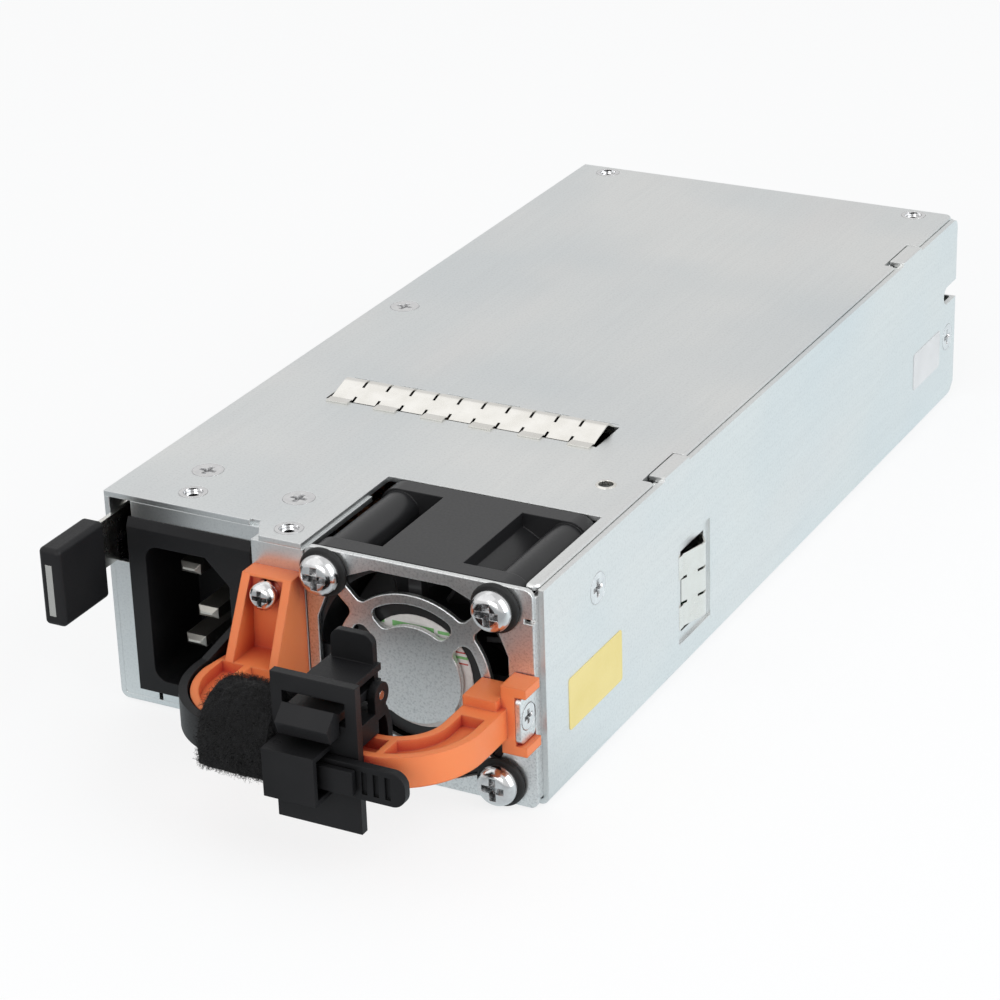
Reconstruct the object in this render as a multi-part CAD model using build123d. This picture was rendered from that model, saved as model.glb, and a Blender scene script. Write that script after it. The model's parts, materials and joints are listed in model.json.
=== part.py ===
from build123d import *
import math
import os

# Hot swap server power supply: folded steel case, fan, mains inlet, handle, bay latch and cord retainer.
# Millimetres. X is to the right seen from the front, Y runs to the rear, Z is up.
# While modelling, Y = 0 is the fan plate's front face and Z = 0 the underside of the case.
# The finished pieces are shifted so that the origin is the centre of the case's underside.

# Case and sheet metal
case_length = 190.0
sheet = 1.0
bend_radius = 1.5
case_setback = 2.0
slip = 0.1
wall_drop = 0.6
left_flange_width = 8.0
left_flange_front = 26.0
left_flange_rear_gap = 10.0
hook_tab_depth = 3.0
hook_tab_length = 10.0
hook_tab_front = 53.0
hook_tab_rear_gap = 26.0
hook_notch_front = 2.5
hook_notch_gap = 0.3
rear_notch_height = 3.8
rear_notch_depth = 7.0
rear_notch_z = 24.0
rear_corner_chamfer = 3.0
rear_corner_round = 2.0
cover_flange_drop = 9.0
cover_corner_radius = 1.5
cover_edge_round = 0.6
panel_set = 4.5
cover_step_lean = 2.0
cover_step_set = 0.6
cover_relief_length = 2.0
cover_relief_width = 0.7
tapped_inset = 8.1
tapped_y = 41.5
tapped_radius = 1.3
tapped_collar_radius = 2.3
tapped_collar_drop = 1.5

# Countersunk cover screws and dished eyelet rivets: inset from the wall or the post, and Y
flange_screw_inset = 5.3
flange_screw_y = 101.0
panel_screw_inset = 12.0
panel_screw_y = 19.0
post_screw_inset = 10.0
post_screw_y = 15.5
panel_rivet_inset = 14.6
panel_rivet_y = 10.2
post_rivet_inset = 5.3
post_rivet_y = 4.5
rear_rivet_left_inset = 7.0
rear_rivet_right_inset = 8.5
rear_rivet_gap = 3.5
wall_screw_y = 21.5
wall_screw_z = 31.1
wall_screw_length = 3.2
rear_screw_gap = 4.3
rear_screw_z = 14.4
screw_head_radius = 2.8
screw_radius = 1.4
cover_screw_length = 5.0
rivet_head_radius = 2.5
rivet_radius = 1.6
rivet_dish_radius = 1.75
rivet_bore = 0.9
hole_gap = 0.06
recess_slot_share = 0.6
recess_taper = 12.0
recess_depth = 0.7
recess_share = 0.58
pan_rounding = 0.72
pan_recess_share = 0.6

# Contact finger strips
finger_pitch = 4.9
finger_slit = 0.5
finger_sheet = 0.3
finger_rise = 1.7
finger_foot = 1.3
finger_crest_share = 0.66
finger_crest_width = 1.8
finger_crown = 0.15
finger_crest_slit = 1.9
finger_foot_slit = 1.2
finger_rail = 3.0
finger_nick_gap = 0.9
finger_nick_width = 0.25
finger_nick_depth = 0.3
finger_nick_length = 5.2
top_finger_count = 11
top_slot_x = -1.0
top_slot_front = 55.0
top_slot_depth = 9.5
side_finger_count = 3
side_slot_front = 55.0
side_slot_depth = 9.8
side_slot_z = 15.0
side_recess = 0.5
side_recess_margin = 1.8

# Fan and its plate
fan_size = 40.0
fan_margin = 3.5
fan_depth = 28.0
fan_hole_inset = 4.0
fan_gap = 0.2
fan_cut_gap = 0.4
fan_wall = 1.6
fan_flange = 3.5
fan_pillar_radius = 3.6
fan_hole_radius = 1.95
fan_flat_width = 15.0
fan_hub_inset = 5.8
fan_hub_recess = 0.6
fan_hub_thickness = 2.2
fan_strut_width = 2.4
fan_strut_count = 4
label_rim = 0.4
label_thickness = 0.2
bearing_share = 0.238
bearing_length = 13.0
shaft_radius = 1.0
running_gap = 0.03
stator_gap = 0.5
stator_length = 8.0
stator_poles = 4
pole_width_share = 0.4
core_share = 0.62
shoe_share = 0.86
magnet_thickness = 0.9
rotor_inset = 2.1
rotor_wall = 0.6
rotor_end_wall = 1.8
rotor_length = 17.0
rotor_gap = 1.0
blade_count = 7
blade_tip_gap = 0.9
blade_thickness = 1.0
blade_chord = 14.0
blade_root_pitch = 48.0
blade_tip_pitch = 36.0
plate_post_gap = 0.2
grille_ring_inset = 3.5
grille_ring_width = 2.7
grille_slot_width = 3.9
grille_edge = 2.2
grille_corner = 7.5
grille_spoke = 4.6
grille_round = 1.2
plate_flange_depth = 28.0
plate_flange_gap = 0.6
plate_notch_z = 34.0
plate_notch_height = 0.8
plate_notch_depth = 1.6
side_tab_length = 5.2
side_tab_low = 14.5
side_tab_high = 23.0
side_tab_round = 1.2
fan_screw_radius = 1.85
fan_screw_head = 3.6
fan_screw_dome = 2.6
fan_screw_length = 9.0
grommet_radius = 4.4
grommet_height = 1.1
grommet_round = 0.48
grommet_neck_radius = 2.7

# Mains inlet, turned a quarter so that its earth side faces +X
inlet_margin = 4.8
inlet_post_gap = 3.7
inlet_low = 3.0
inlet_top_gap = 3.9
inlet_left_wall = 3.5
inlet_right_wall = 4.6
inlet_low_wall = 2.45
inlet_high_wall = 4.5
inlet_flange = 1.0
inlet_flange_chamfer = 0.8
inlet_flange_slope = 1.6
inlet_lip = 1.1
inlet_wedge_length = 4.4
inlet_body_depth = 18.0
inlet_mouth_width = 16.8
inlet_mouth_height = 26.15
inlet_mouth_chamfer = 4.6
inlet_mouth_round = 2.6
inlet_mouth_depth = 15.5
pin_pitch = 14.0
pin_offset = 4.0
pin_width = 4.0
pin_thickness = 2.0
pin_bevel = 0.8
pin_reach = 11.0
pin_lift = 0.6
pin_shift = 0.8
earth_extra = 1.5
pin_tail = 6.0
panel_gap = 0.2
panel_strip_top = 27.0
panel_slit_inset = 3.6
panel_slit_width = 0.8
panel_slit_height = 2.0
panel_flange_depth = 23.0
lead_radius = 1.1
lead_bend = 4.0
lead_spacing = 3.3
bend_share = 0.45

# Handle
bar_overlap = 3.05
bar_right_inset = 3.5
bar_front = -28.0
bar_width = 7.0
bar_corner = 14.5
bar_low = 15.4
bar_height = 5.5
bar_pocket_depth = 2.0
bar_rim = 1.4
bar_rib = 1.2
bar_rib_spots = (9.65, 24.65, 40.65)
leg_overhang = 0.6
leg_base_overhang = 1.2
leg_post_gap = 0.2
leg_depth = 10.0
leg_top_depth = 3.8
leg_top = 34.8
leg_rib = 1.6
leg_floor = 3.2
leg_roof = 0.4
leg_screw_room = 0.65
leg_screw_drop = 3.0
leg_screw_head = 2.5
leg_screw_dome = 2.0
leg_screw_radius = 1.5
leg_screw_length = 9.0
flat_washer_thickness = 0.5
washer_thickness = 0.9
washer_split = 0.5
bracket_inset = 4.5
bracket_low = 12.6
bracket_high = 24.9
bracket_gap = 0.2
gusset_height = 1.8
gusset_depth = 7.0
side_screw_y = -2.4
side_screw_z = 18.7
side_screw_head = 2.3
side_screw_length = 7.0

# Cord retainer on the bar
clip_offset = 9.15
clip_width = 15.4
clip_low = 7.6
clip_high = 33.6
clip_sheet = 1.6
clip_seat_gap = 0.4
window_margin = 2.0
window_low = 26.4
window_high = 30.6
ratchet_offset = 1.0
ratchet_width = 9.5
ratchet_depth = 5.5
ratchet_low = 14.2
ratchet_high = 22.8
ratchet_wall = 0.9
saddle_gap = 0.3
saddle_sheet = 1.4
saddle_deck_z = 23.4
saddle_rear = -18.2
saddle_lip = 2.6
ear_thickness = 1.4
ear_radius = 2.2
pivot_y = -19.6
pivot_z = 27.2
pivot_radius = 0.75
pin_fit_gap = 0.04
lever_barrel_radius = 1.5
lever_side_gap = 0.2
lever_shelf = 1.4
lever_deck = 1.2
lever_deck_lift = 0.8
lever_deck_side = 0.6
lever_deck_gap = 0.6
thumb_offset = 4.2
thumb_width = 7.7
thumb_high = 36.5
thumb_sheet = 1.3
thumb_round = 1.8
barb_margin = 3.0
barb_reach = 4.0
barb_crown_reach = 1.4
barb_foot_reach = 3.0
barb_drop = 2.4
barb_gap = 0.2
pawl_thickness = 1.0
pawl_offset = 1.4
pawl_stub = 0.6
pawl_height = 4.2
pawl_trunnion_radius = 0.55
pawl_strap_gap = 0.4

# Retention strap and hook-and-loop wrap
strap_thickness = 1.5
strap_height = 6.0
strap_low = 15.3
strap_bar_gap = 0.4
strap_end_y = 2.6
strap_rise = 4.5
strap_plate_gap = 0.3
strap_tail = 9.2
strap_tail_round = 2.4
strap_groove_start = 2.6
strap_groove_count = 3
strap_groove_pitch = 2.1
strap_groove_width = 1.0
strap_groove_depth = 0.5
wrap_half_width = 7.3
wrap_crown = 9.4
wrap_clip_gap = 0.4
wrap_turn = 11.0
wrap_drop = 3.9
wrap_rounding = 1.2
wrap_clearance = 0.35

# Bay latch
leaf_sheet = 0.8
leaf_gap = 0.3
leaf_low = 27.4
leaf_high = 36.2
leaf_head_sheet = 1.3
leaf_head_low = 25.4
leaf_head_high = 34.9
leaf_head_gap = 3.0
leaf_pivot_y = 62.0
leaf_tail = 4.0
leaf_rivet_spread = 5.0
leaf_rivet_radius = 1.4
leaf_rivet_head = 2.3
leaf_rivet_gap = 0.2
tooth_front = 10.0
tooth_length = 8.0
tooth_reach = 2.0
tooth_margin = 1.5
tooth_slot_gap = 0.8
grip_front = -15.5
grip_rear = -2.0
grip_width = 4.3
grip_low = 23.5
grip_high = 37.9
grip_round = 0.9
grip_slot_gap = 0.05

# Main board and what stands on it; the last stages keep their distance from the rear
board_low = 5.0
board_thickness = 1.6
board_front = 34.0
board_side_gap = 2.0
card_width = 62.0
card_reach = 8.5
contact_count = 12
contact_pitch = 4.6
contact_width = 3.2
contact_length = 7.0
contact_thickness = 0.1
film_thickness = 0.4
standoff_radius = 2.4
standoff_inset = 6.0
standoff_front = 40.0
standoff_rear_gap = 8.0
board_screw_head = 2.5
board_screw_dome = 1.6
board_screw_radius = 1.3
board_screw_length = 4.0
choke_place = (-26.0, 61.0)
choke_radius = 9.5
choke_bore = 4.5
choke_height = 13.0
winding_round_share = 0.3
x_cap_y = 47.0
x_cap_lead_gap = 2.2
x_cap_size = (9.0, 20.0, 16.0)
fuse_place = (-33.0, 86.0)
fuse_radius = 2.6
fuse_tube_radius = 2.2
fuse_length = 20.0
fuse_cap_length = 5.0
fuse_lift = 0.6
bridge_place = (-19.0, 76.0)
bridge_size = (20.0, 4.6, 17.0)
bridge_hole_z = 11.9
pfc_place = (-16.5, 94.0)
pfc_radius = 13.0
pfc_bore = 6.0
pfc_height = 16.0
bulk_x = -20.0
bulk_front = 110.0
bulk_radius = 11.0
bulk_height = 28.0
bulk_gap = 0.8
heatsink_x = 27.0
heatsink_sheet = 2.0
heatsink_height = 26.0
heatsink_fin_reach = 9.0
heatsink_fin_count = 5
heatsink_fin_sheet = 1.2
primary_sink_front = 52.0
sink_gap = 14.0
secondary_sink_rear_gap = 36.0
secondary_sink_length = 40.0
transistor_size = (4.6, 14.0, 19.0)
transistor_pitch = 16.0
transistor_hole_z = 14.25
transistor_lift = 2.5
transistor_gap = 0.05
transformer_x = 10.0
transformer_rear_gap = 70.0
transformer_size = (26.0, 30.0, 24.0)
transformer_leg = 5.0
winding_margin = 0.4
busbar_places = (-3.0, 14.0)
busbar_width = 8.0
busbar_sheet = 2.0
busbar_rear_gap = 6.0
busbar_length = 40.0
busbar_lift = 8.0
out_cap_x = -30.0
out_cap_rear_gap = 18.0
out_cap_radius = 4.0
out_cap_height = 14.0
out_cap_pitch = 9.0
out_cap_count = 3
control_x = 2.0
control_front = 64.0
control_gap = 5.0
control_height = 22.0
control_sheet = 1.2
chip_size = 8.0
chip_shares = (0.3, 0.7)
fan_lead_radius = 1.3
fan_lead_inset = 4.0
fan_lead_z = 14.0

# Rear panel
vent_flat = 4.6
vent_pitch = 6.0
vent_columns = 12
vent_rows = 4
vent_low = 15.5
card_slot_gap = 0.8
rear_flange_depth = 8.0

# Front row: the inlet, the handle's post and the fan side by side make the width, the taller one the height
inlet_width = inlet_left_wall + inlet_mouth_width + inlet_right_wall
inlet_height = inlet_low_wall + inlet_mouth_height + inlet_high_wall
leg_top_width = 2 * (leg_screw_head + leg_screw_room + leg_rib)
post_width = leg_top_width + leg_post_gap - leg_overhang
case_width = inlet_margin + inlet_width + inlet_post_gap + post_width + fan_size + fan_margin
case_height = max(fan_size, inlet_low + inlet_height + inlet_top_gap)

# Derived planes of the case
half_width = case_width / 2
wall_in = half_width - sheet
case_front = case_setback
case_rear = case_setback + case_length
origin_y = case_setback + case_length / 2
cover_low = case_height - sheet
under_flange = cover_low - sheet
wall_top = case_height - wall_drop
cover_right = wall_in - slip
hook_tab_places = (hook_tab_front, case_rear - hook_tab_rear_gap)

# Derived planes of the inlet and its panel
panel_front = panel_set
panel_rear = panel_set + sheet
inlet_front = panel_front - inlet_flange
inlet_left = inlet_margin - half_width
inlet_right = inlet_left + inlet_width
inlet_high = inlet_low + inlet_height
inlet_mouth_x = inlet_left + inlet_left_wall + inlet_mouth_width / 2
inlet_mouth_z = inlet_low + inlet_low_wall + inlet_mouth_height / 2
panel_slit_x = inlet_left + panel_slit_inset
cover_step_x = inlet_right + inlet_post_gap
post_right = cover_step_x + post_width

# Derived places on the cover
tapped_place = (half_width - tapped_inset, tapped_y)
cover_screw_places = ((flange_screw_inset - half_width, flange_screw_y),
                      (panel_screw_inset - half_width, panel_screw_y),
                      (post_right - post_screw_inset, post_screw_y))
rivet_places = ((panel_rivet_inset - half_width, panel_rivet_y),
                (post_right - post_rivet_inset, post_rivet_y),
                (rear_rivet_left_inset - half_width, case_rear - rear_rivet_gap),
                (half_width - rear_rivet_right_inset, case_rear - rear_rivet_gap))

# Derived planes of the fan
fan_left = post_right
fan_right = fan_left + fan_size
fan_x = (fan_left + fan_right) / 2
fan_z = case_height / 2
fan_front = sheet + fan_gap
fan_rear = fan_front + fan_depth
fan_hole_reach = fan_size / 2 - fan_hole_inset
fan_corners = [(fan_x + sx * fan_hole_reach, fan_z + sz * fan_hole_reach) for sx in (-1, 1) for sz in (-1, 1)]
fan_bore_radius = fan_size / 2 - fan_wall
fan_hub_radius = fan_bore_radius - fan_hub_inset
label_radius = fan_hub_radius - label_rim
rotor_radius = fan_hub_radius - rotor_inset
bearing_radius = fan_hub_radius * bearing_share
blade_radius = fan_bore_radius - blade_tip_gap
stator_radius = rotor_radius - rotor_wall - magnet_thickness - stator_gap
grille_ring_radius = fan_bore_radius - grille_ring_inset
grille_slot_radius = grille_ring_radius - grille_ring_width
grille_disc_radius = grille_slot_radius - grille_slot_width
grille_half = fan_size / 2 - grille_edge
plate_left = post_right + plate_post_gap
hub_front = fan_front + fan_hub_recess
hub_rear = hub_front + fan_hub_thickness
rotor_front = hub_rear + rotor_gap
rotor_rear = rotor_front + rotor_length

# Derived planes of the handle
bar_left = cover_step_x - bar_overlap
bar_right = half_width - bar_right_inset
bar_top = bar_low + bar_height
bar_rib_places = [bar_left + spot for spot in bar_rib_spots]
corner_x = bar_left + bar_corner
corner_y = bar_front + bar_corner
leg_left = cover_step_x - leg_base_overhang
leg_right = post_right - leg_post_gap
leg_top_left = cover_step_x - leg_overhang
leg_top_right = leg_top_left + leg_top_width
leg_screw_x = (leg_top_left + leg_top_right) / 2
leg_screw_z = leg_top - leg_screw_drop
bracket_left = half_width - bracket_inset

# Derived planes of the retainer, the strap and the wrap
clip_left = corner_x + clip_offset
clip_right = clip_left + clip_width
clip_back = bar_front - clip_seat_gap
clip_front = clip_back - clip_sheet
ratchet_left = clip_left + ratchet_offset
ratchet_right = ratchet_left + ratchet_width
ratchet_front = clip_front - ratchet_depth
strap_y = clip_front - strap_plate_gap - strap_thickness / 2
strap_tail_right = clip_right + strap_tail
pawl_left = ratchet_left + pawl_offset
pawl_right = clip_right + pawl_stub
pawl_y = strap_y - strap_thickness / 2 - pawl_strap_gap - pawl_thickness / 2
wrap_right = clip_left - wrap_clip_gap

# Derived planes of the latch and the board
leaf_left = leaf_gap - wall_in
leaf_right = leaf_left + leaf_sheet
leaf_mid_z = (leaf_low + leaf_high) / 2
grip_left = -half_width
grip_right = grip_left + grip_width
wall_screw_places = ((wall_screw_y, wall_screw_z), (case_rear - rear_screw_gap, rear_screw_z))
board_top = board_low + board_thickness
board_half = wall_in - board_side_gap
board_rear = case_rear - sheet - slip
standoff_places = [(sx * (board_half - standoff_inset), y)
                   for sx in (-1, 1) for y in (standoff_front, case_rear - standoff_rear_gap)]
secondary_sink_front = case_rear - secondary_sink_rear_gap - secondary_sink_length
primary_sink_length = secondary_sink_front - sink_gap - primary_sink_front
transistor_count = int(primary_sink_length // transistor_pitch)
transformer_place = (transformer_x, case_rear - transformer_rear_gap)
fan_lead_x = fan_left + fan_lead_inset
x_cap_place = (fan_lead_x - fan_lead_radius - x_cap_lead_gap - x_cap_size[0] / 2, x_cap_y)
control_length = transformer_place[1] - transformer_size[1] / 2 - control_gap - control_front
busbar_front = case_rear - busbar_rear_gap - busbar_length
out_cap_y = case_rear - out_cap_rear_gap
bulk_pitch = 2 * bulk_radius + bulk_gap
bulk_count = int((out_cap_y - out_cap_radius - bulk_front) // bulk_pitch)


def block(x_range, y_range, z_range):
    """A box from its ranges along X, Y and Z."""
    size = [high - low for low, high in (x_range, y_range, z_range)]
    middle = [(low + high) / 2 for low, high in (x_range, y_range, z_range)]
    return Pos(*middle) * Box(*size)


def rod(start, direction, radius, length):
    """A round bar from a point along a direction."""
    return extrude(Plane(origin=start, z_dir=direction) * Circle(radius), length)


def tube(start, direction, radius, bore, length):
    """A round bar with a round hole along it."""
    ring = Circle(radius) - Circle(bore)
    return extrude(Plane(origin=start, z_dir=direction) * ring, length)


def side_prism(points, x_low, x_high):
    """A polygon of (y, z) points, run from x_low to x_high."""
    face = Plane.YZ.offset(x_low) * make_face(Polyline(*points, close=True))
    return extrude(face, x_high - x_low)


def front_prism(points, y_low, y_high):
    """A polygon of (x, z) points, run from y_low to y_high."""
    face = Plane.XZ.offset(-y_high) * make_face(Polyline(*points, close=True))
    return extrude(face, y_high - y_low)


def plan_prism(points, z_low, z_high):
    """A polygon of (x, y) points, run from z_low to z_high."""
    face = Plane.XY.offset(z_low) * make_face(Polyline(*points, close=True))
    return extrude(face, z_high - z_low)


def group(pieces):
    """Separate solids that share one node."""
    return Compound(children=[solid for piece in pieces for solid in piece.solids()])


def cross_recess(start, direction, reach, depth):
    """The cross that a screwdriver turns, sunk from the head's top with tapered flanks."""
    top = Plane(origin=start, z_dir=-Vector(*direction))
    slot = reach * recess_slot_share
    cross = Rectangle(2 * reach, slot) + Rectangle(slot, 2 * reach)
    return extrude(top * cross, depth, taper=recess_taper)


def sunk_screw(start, direction, head, radius, length):
    """A countersunk screw with its flat top at start; direction points out of the sheet."""
    top = Plane(origin=start, z_dir=direction)
    cone_depth = head - radius
    outline = [(0, 0), (head, 0), (radius, -cone_depth), (radius, -length), (0, -length)]
    screw = revolve(Plane.XZ * make_face(Polyline(*outline, close=True)), Axis.Z)
    return top.location * screw - cross_recess(start, direction, head * recess_share, recess_depth)


def sunk_hole(start, direction, head, radius, length):
    """The hole for a countersunk screw or rivet, a small gap wider than its piece."""
    top = Plane(origin=start, z_dir=direction)
    wide = head + hole_gap
    narrow = radius + hole_gap
    outline = [(0, sheet), (wide, sheet), (wide, 0), (narrow, narrow - wide), (narrow, -length), (0, -length)]
    return top.location * revolve(Plane.XZ * make_face(Polyline(*outline, close=True)), Axis.Z)


def pan_screw(start, direction, head, dome, radius, length):
    """A pan-head screw whose head sits on start; direction points out of the head's top."""
    seat = Plane(origin=start, z_dir=direction)
    cap = Cylinder(head, dome, align=(Align.CENTER, Align.CENTER, Align.MIN))
    cap = fillet(cap.edges().filter_by(GeomType.CIRCLE).sort_by(Axis.Z)[-1], dome * pan_rounding)
    shank = Cylinder(radius, length, align=(Align.CENTER, Align.CENTER, Align.MAX))
    top = seat.origin + seat.z_dir * dome
    recess = cross_recess(top, direction, head * recess_share, dome * pan_recess_share)
    return seat.location * (cap + shank) - recess


def finger_roof(span):
    """The fingers' folded section: long front slope, rounded crest and short rear slope."""
    start = finger_sheet
    end = span - finger_sheet
    crest = span * finger_crest_share
    before = crest - finger_crest_width / 2
    after = crest + finger_crest_width / 2
    shoulder = finger_rise - finger_crown
    inner = shoulder - finger_sheet
    return make_face([
        Line((start, 0), (before, shoulder)),
        ThreePointArc((before, shoulder), (crest, finger_rise), (after, shoulder)),
        Polyline((after, shoulder), (end, 0), (end - finger_sheet, 0), (after - finger_sheet, inner)),
        ThreePointArc((after - finger_sheet, inner), (crest, finger_rise - finger_sheet), (before, inner)),
        Polyline((before, inner), (start + finger_sheet, 0), (start, 0))])


def finger_strip(count, span, thickness):
    """Contact fingers in a slot: X along the strip, Y across the slot, Z out of the sheet."""
    start = finger_sheet
    start_in = start + finger_sheet
    end = span - finger_sheet
    end_in = end - finger_sheet
    crest = span * finger_crest_share
    under = -thickness - finger_sheet
    half_strip = (count * finger_pitch - finger_slit) / 2
    along = (-half_strip, half_strip)
    strip = extrude(Plane.YZ.offset(-half_strip) * finger_roof(span), 2 * half_strip)
    strip += block(along, (end_in, end + finger_rail), (under, -thickness))
    strip += block(along, (end_in, end), (under, 0))
    for number in range(count):
        low = number * finger_pitch - half_strip
        across = (low, low + finger_pitch - finger_slit)
        if number % 2 == 0:
            strip += block(across, (-finger_foot, start_in), (0, finger_sheet))
        else:
            strip += block(across, (start, start_in), (under, 0))
            strip += block(across, (-finger_foot, start_in), (under, -thickness))
        gap = (low - finger_slit, low)
        if number > 0:
            strip -= block(gap, (crest - finger_crest_slit, span), (0, 2 * finger_rise))
            strip -= block(gap, (0, start_in + finger_foot_slit), (-thickness, finger_rise))
    return strip


def strip_length(count):
    """The slot that a strip of fingers needs, with a little room at its ends."""
    return count * finger_pitch + 2 * finger_slit


def chassis():
    """The folded tray: floor, side walls, left top flange and the hook tabs over the cover."""
    outer = block((-half_width, half_width), (case_front, case_rear), (0, wall_top))
    outer = fillet(outer.edges().filter_by(Axis.Y).group_by(Axis.Z)[0], bend_radius)
    inner = block((-wall_in, wall_in), (case_front - sheet, case_rear + sheet), (sheet, case_height))
    inner = fillet(inner.edges().filter_by(Axis.Y).group_by(Axis.Z)[0], bend_radius - sheet)
    tray = outer - inner
    tray -= block((-case_width, 0), (0, case_rear + sheet), (cover_low, case_height))
    flange_along = (left_flange_front, case_rear - left_flange_rear_gap)
    tray += block((-wall_in, left_flange_width - wall_in), flange_along, (under_flange, cover_low))
    for middle in hook_tab_places:
        along = (middle - hook_tab_length / 2, middle + hook_tab_length / 2)
        tray += block((half_width - hook_tab_depth, half_width), along, (cover_low, case_height))
        tray += block((wall_in, half_width), along, (sheet, cover_low))
    fan_along = (0, fan_rear + fan_cut_gap)
    tray -= block((fan_left - fan_cut_gap, fan_right + fan_cut_gap), fan_along, (-sheet, 2 * sheet))
    tray -= block((-case_width, cover_step_x), (0, panel_front), (-sheet, case_height))
    tray -= side_window()
    for y, z in wall_screw_places:
        tray -= sunk_hole((half_width, y, z), (1, 0, 0), screw_head_radius, screw_radius, 2 * sheet)
    tray -= sunk_hole((*cover_screw_places[0], case_height), (0, 0, 1), screw_head_radius, screw_radius,
                      cover_screw_length)
    tray -= rear_notch((wall_in - sheet, half_width + sheet), rear_notch_depth)
    corner = rear_corner_chamfer
    tray -= side_prism([(case_rear - corner, 0), (case_rear, 0), (case_rear, corner)], wall_in, half_width)
    top_corner = tray.edges().filter_by(Axis.X).filter_by_position(Axis.X, wall_in, half_width)
    top_corner = top_corner.filter_by_position(Axis.Y, case_rear - slip, case_rear + slip).sort_by(Axis.Z)[-1]
    tray = fillet(top_corner, rear_corner_round)
    tooth_along = (tooth_front - tooth_slot_gap, tooth_front + tooth_length + tooth_slot_gap)
    tray -= block((-half_width - sheet, leaf_left), tooth_along, (leaf_low, leaf_high))
    for z in leaf_rivet_heights():
        start = (-half_width - sheet, leaf_pivot_y, z)
        tray -= rod(start, (1, 0, 0), leaf_rivet_radius + hole_gap, 3 * sheet)
    return tray


def rear_notch(x_range, depth):
    """The notch in the rear edge of the right wall, cut to a depth from the rear."""
    half = rear_notch_height / 2
    front = case_rear - depth + half
    slot = block(x_range, (front, case_rear + sheet), (rear_notch_z - half, rear_notch_z + half))
    return slot + rod((x_range[0], front, rear_notch_z), (1, 0, 0), half, x_range[1] - x_range[0])


def side_window():
    """The stamped recess and the slot for the side contact fingers, cut from the right wall."""
    half = strip_length(side_finger_count) / 2
    rear = side_slot_front + side_slot_depth
    slot = block((wall_in - sheet, half_width + sheet), (side_slot_front, rear),
                 (side_slot_z - half, side_slot_z + half))
    margin = side_recess_margin
    recess = block((half_width - side_recess, half_width + sheet), (side_slot_front - margin, rear + margin),
                   (side_slot_z - half - margin, side_slot_z + half + margin))
    return slot + recess


def side_ground_spring():
    """Three contact fingers that stand out of the right wall."""
    corner = (half_width - side_recess, side_slot_front, side_slot_z)
    wall = Plane(origin=corner, x_dir=(0, 0, -1), z_dir=(1, 0, 0))
    return wall.location * finger_strip(side_finger_count, side_slot_depth, sheet - side_recess)


def top_ground_spring():
    """The row of contact fingers that stands out of the cover."""
    corner = Pos(top_slot_x, top_slot_front, case_height)
    return corner * finger_strip(top_finger_count, top_slot_depth, sheet)


def top_cover():
    """The lid: stepped front edge, fan cut-out, finger slot and the right edge folded down."""
    step_in = cover_step_x - cover_step_lean
    outline = [(-half_width, panel_front), (step_in, panel_front), (cover_step_x + cover_step_set, 0),
               (fan_left, 0), (fan_left, case_front), (cover_right, case_front), (cover_right, case_rear),
               (-half_width, case_rear)]
    lid = plan_prism(outline, cover_low, case_height)
    fold = (fan_rear + fan_cut_gap + sheet, case_rear - rear_flange_depth - sheet)
    lid += block((cover_right - sheet, cover_right), fold, (cover_low - cover_flange_drop, cover_low))
    lid -= block((fan_left - fan_cut_gap, fan_right + fan_cut_gap), (-sheet, fan_rear + fan_cut_gap),
                 (cover_low - sheet, case_height + sheet))
    right_corners = lid.edges().filter_by(Axis.Z).group_by(Axis.X)[-1]
    lid = fillet(right_corners.filter_by(lambda edge: edge.center().Z > cover_low), cover_corner_radius)
    top = lid.faces().filter_by(Axis.Z).sort_by(Axis.Z)[-1]
    right_edge = top.edges().filter_by(Axis.Y).sort_by(Axis.X)[-1]
    lid = fillet(right_edge, cover_edge_round)
    for middle in hook_tab_places:
        front = middle - hook_tab_length / 2 - hook_notch_front
        rear = middle + hook_tab_length / 2 + hook_notch_gap
        lid -= block((half_width - hook_tab_depth - hook_notch_gap, half_width), (front, rear),
                     (cover_low - slip, case_height + sheet))
    half = strip_length(top_finger_count) / 2
    lid -= block((top_slot_x - half, top_slot_x + half), (top_slot_front, top_slot_front + top_slot_depth),
                 (cover_low - sheet, case_height + sheet))
    lid -= block((step_in - cover_relief_length, step_in), (0, panel_front + cover_relief_width),
                 (cover_low - sheet, case_height + sheet))
    nick_front = top_slot_front + top_slot_depth + finger_nick_gap
    for number in range(0, top_finger_count + 1, 2):
        low = top_slot_x - half + number * finger_pitch
        lid -= block((low, low + finger_nick_length), (nick_front, nick_front + finger_nick_width),
                     (case_height - finger_nick_depth, case_height + sheet))
    for x, y in cover_screw_places:
        lid -= sunk_hole((x, y, case_height), (0, 0, 1), screw_head_radius, screw_radius, 2 * sheet)
    for x, y in rivet_places:
        lid -= sunk_hole((x, y, case_height), (0, 0, 1), rivet_head_radius, rivet_radius, 2 * sheet)
    x, y = tapped_place
    lid += rod((x, y, cover_low - tapped_collar_drop), (0, 0, 1), tapped_collar_radius, tapped_collar_drop)
    lid -= rod((x, y, cover_low - 2 * tapped_collar_drop), (0, 0, 1), tapped_radius, case_height)
    return lid


def cover_screws():
    """Countersunk screws of the cover and of the right wall."""
    screws = [sunk_screw((*spot, case_height), (0, 0, 1), screw_head_radius, screw_radius, cover_screw_length)
              for spot in cover_screw_places]
    screws += [sunk_screw((half_width, y, z), (1, 0, 0), screw_head_radius, screw_radius, wall_screw_length)
               for y, z in wall_screw_places]
    return group(screws)


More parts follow.
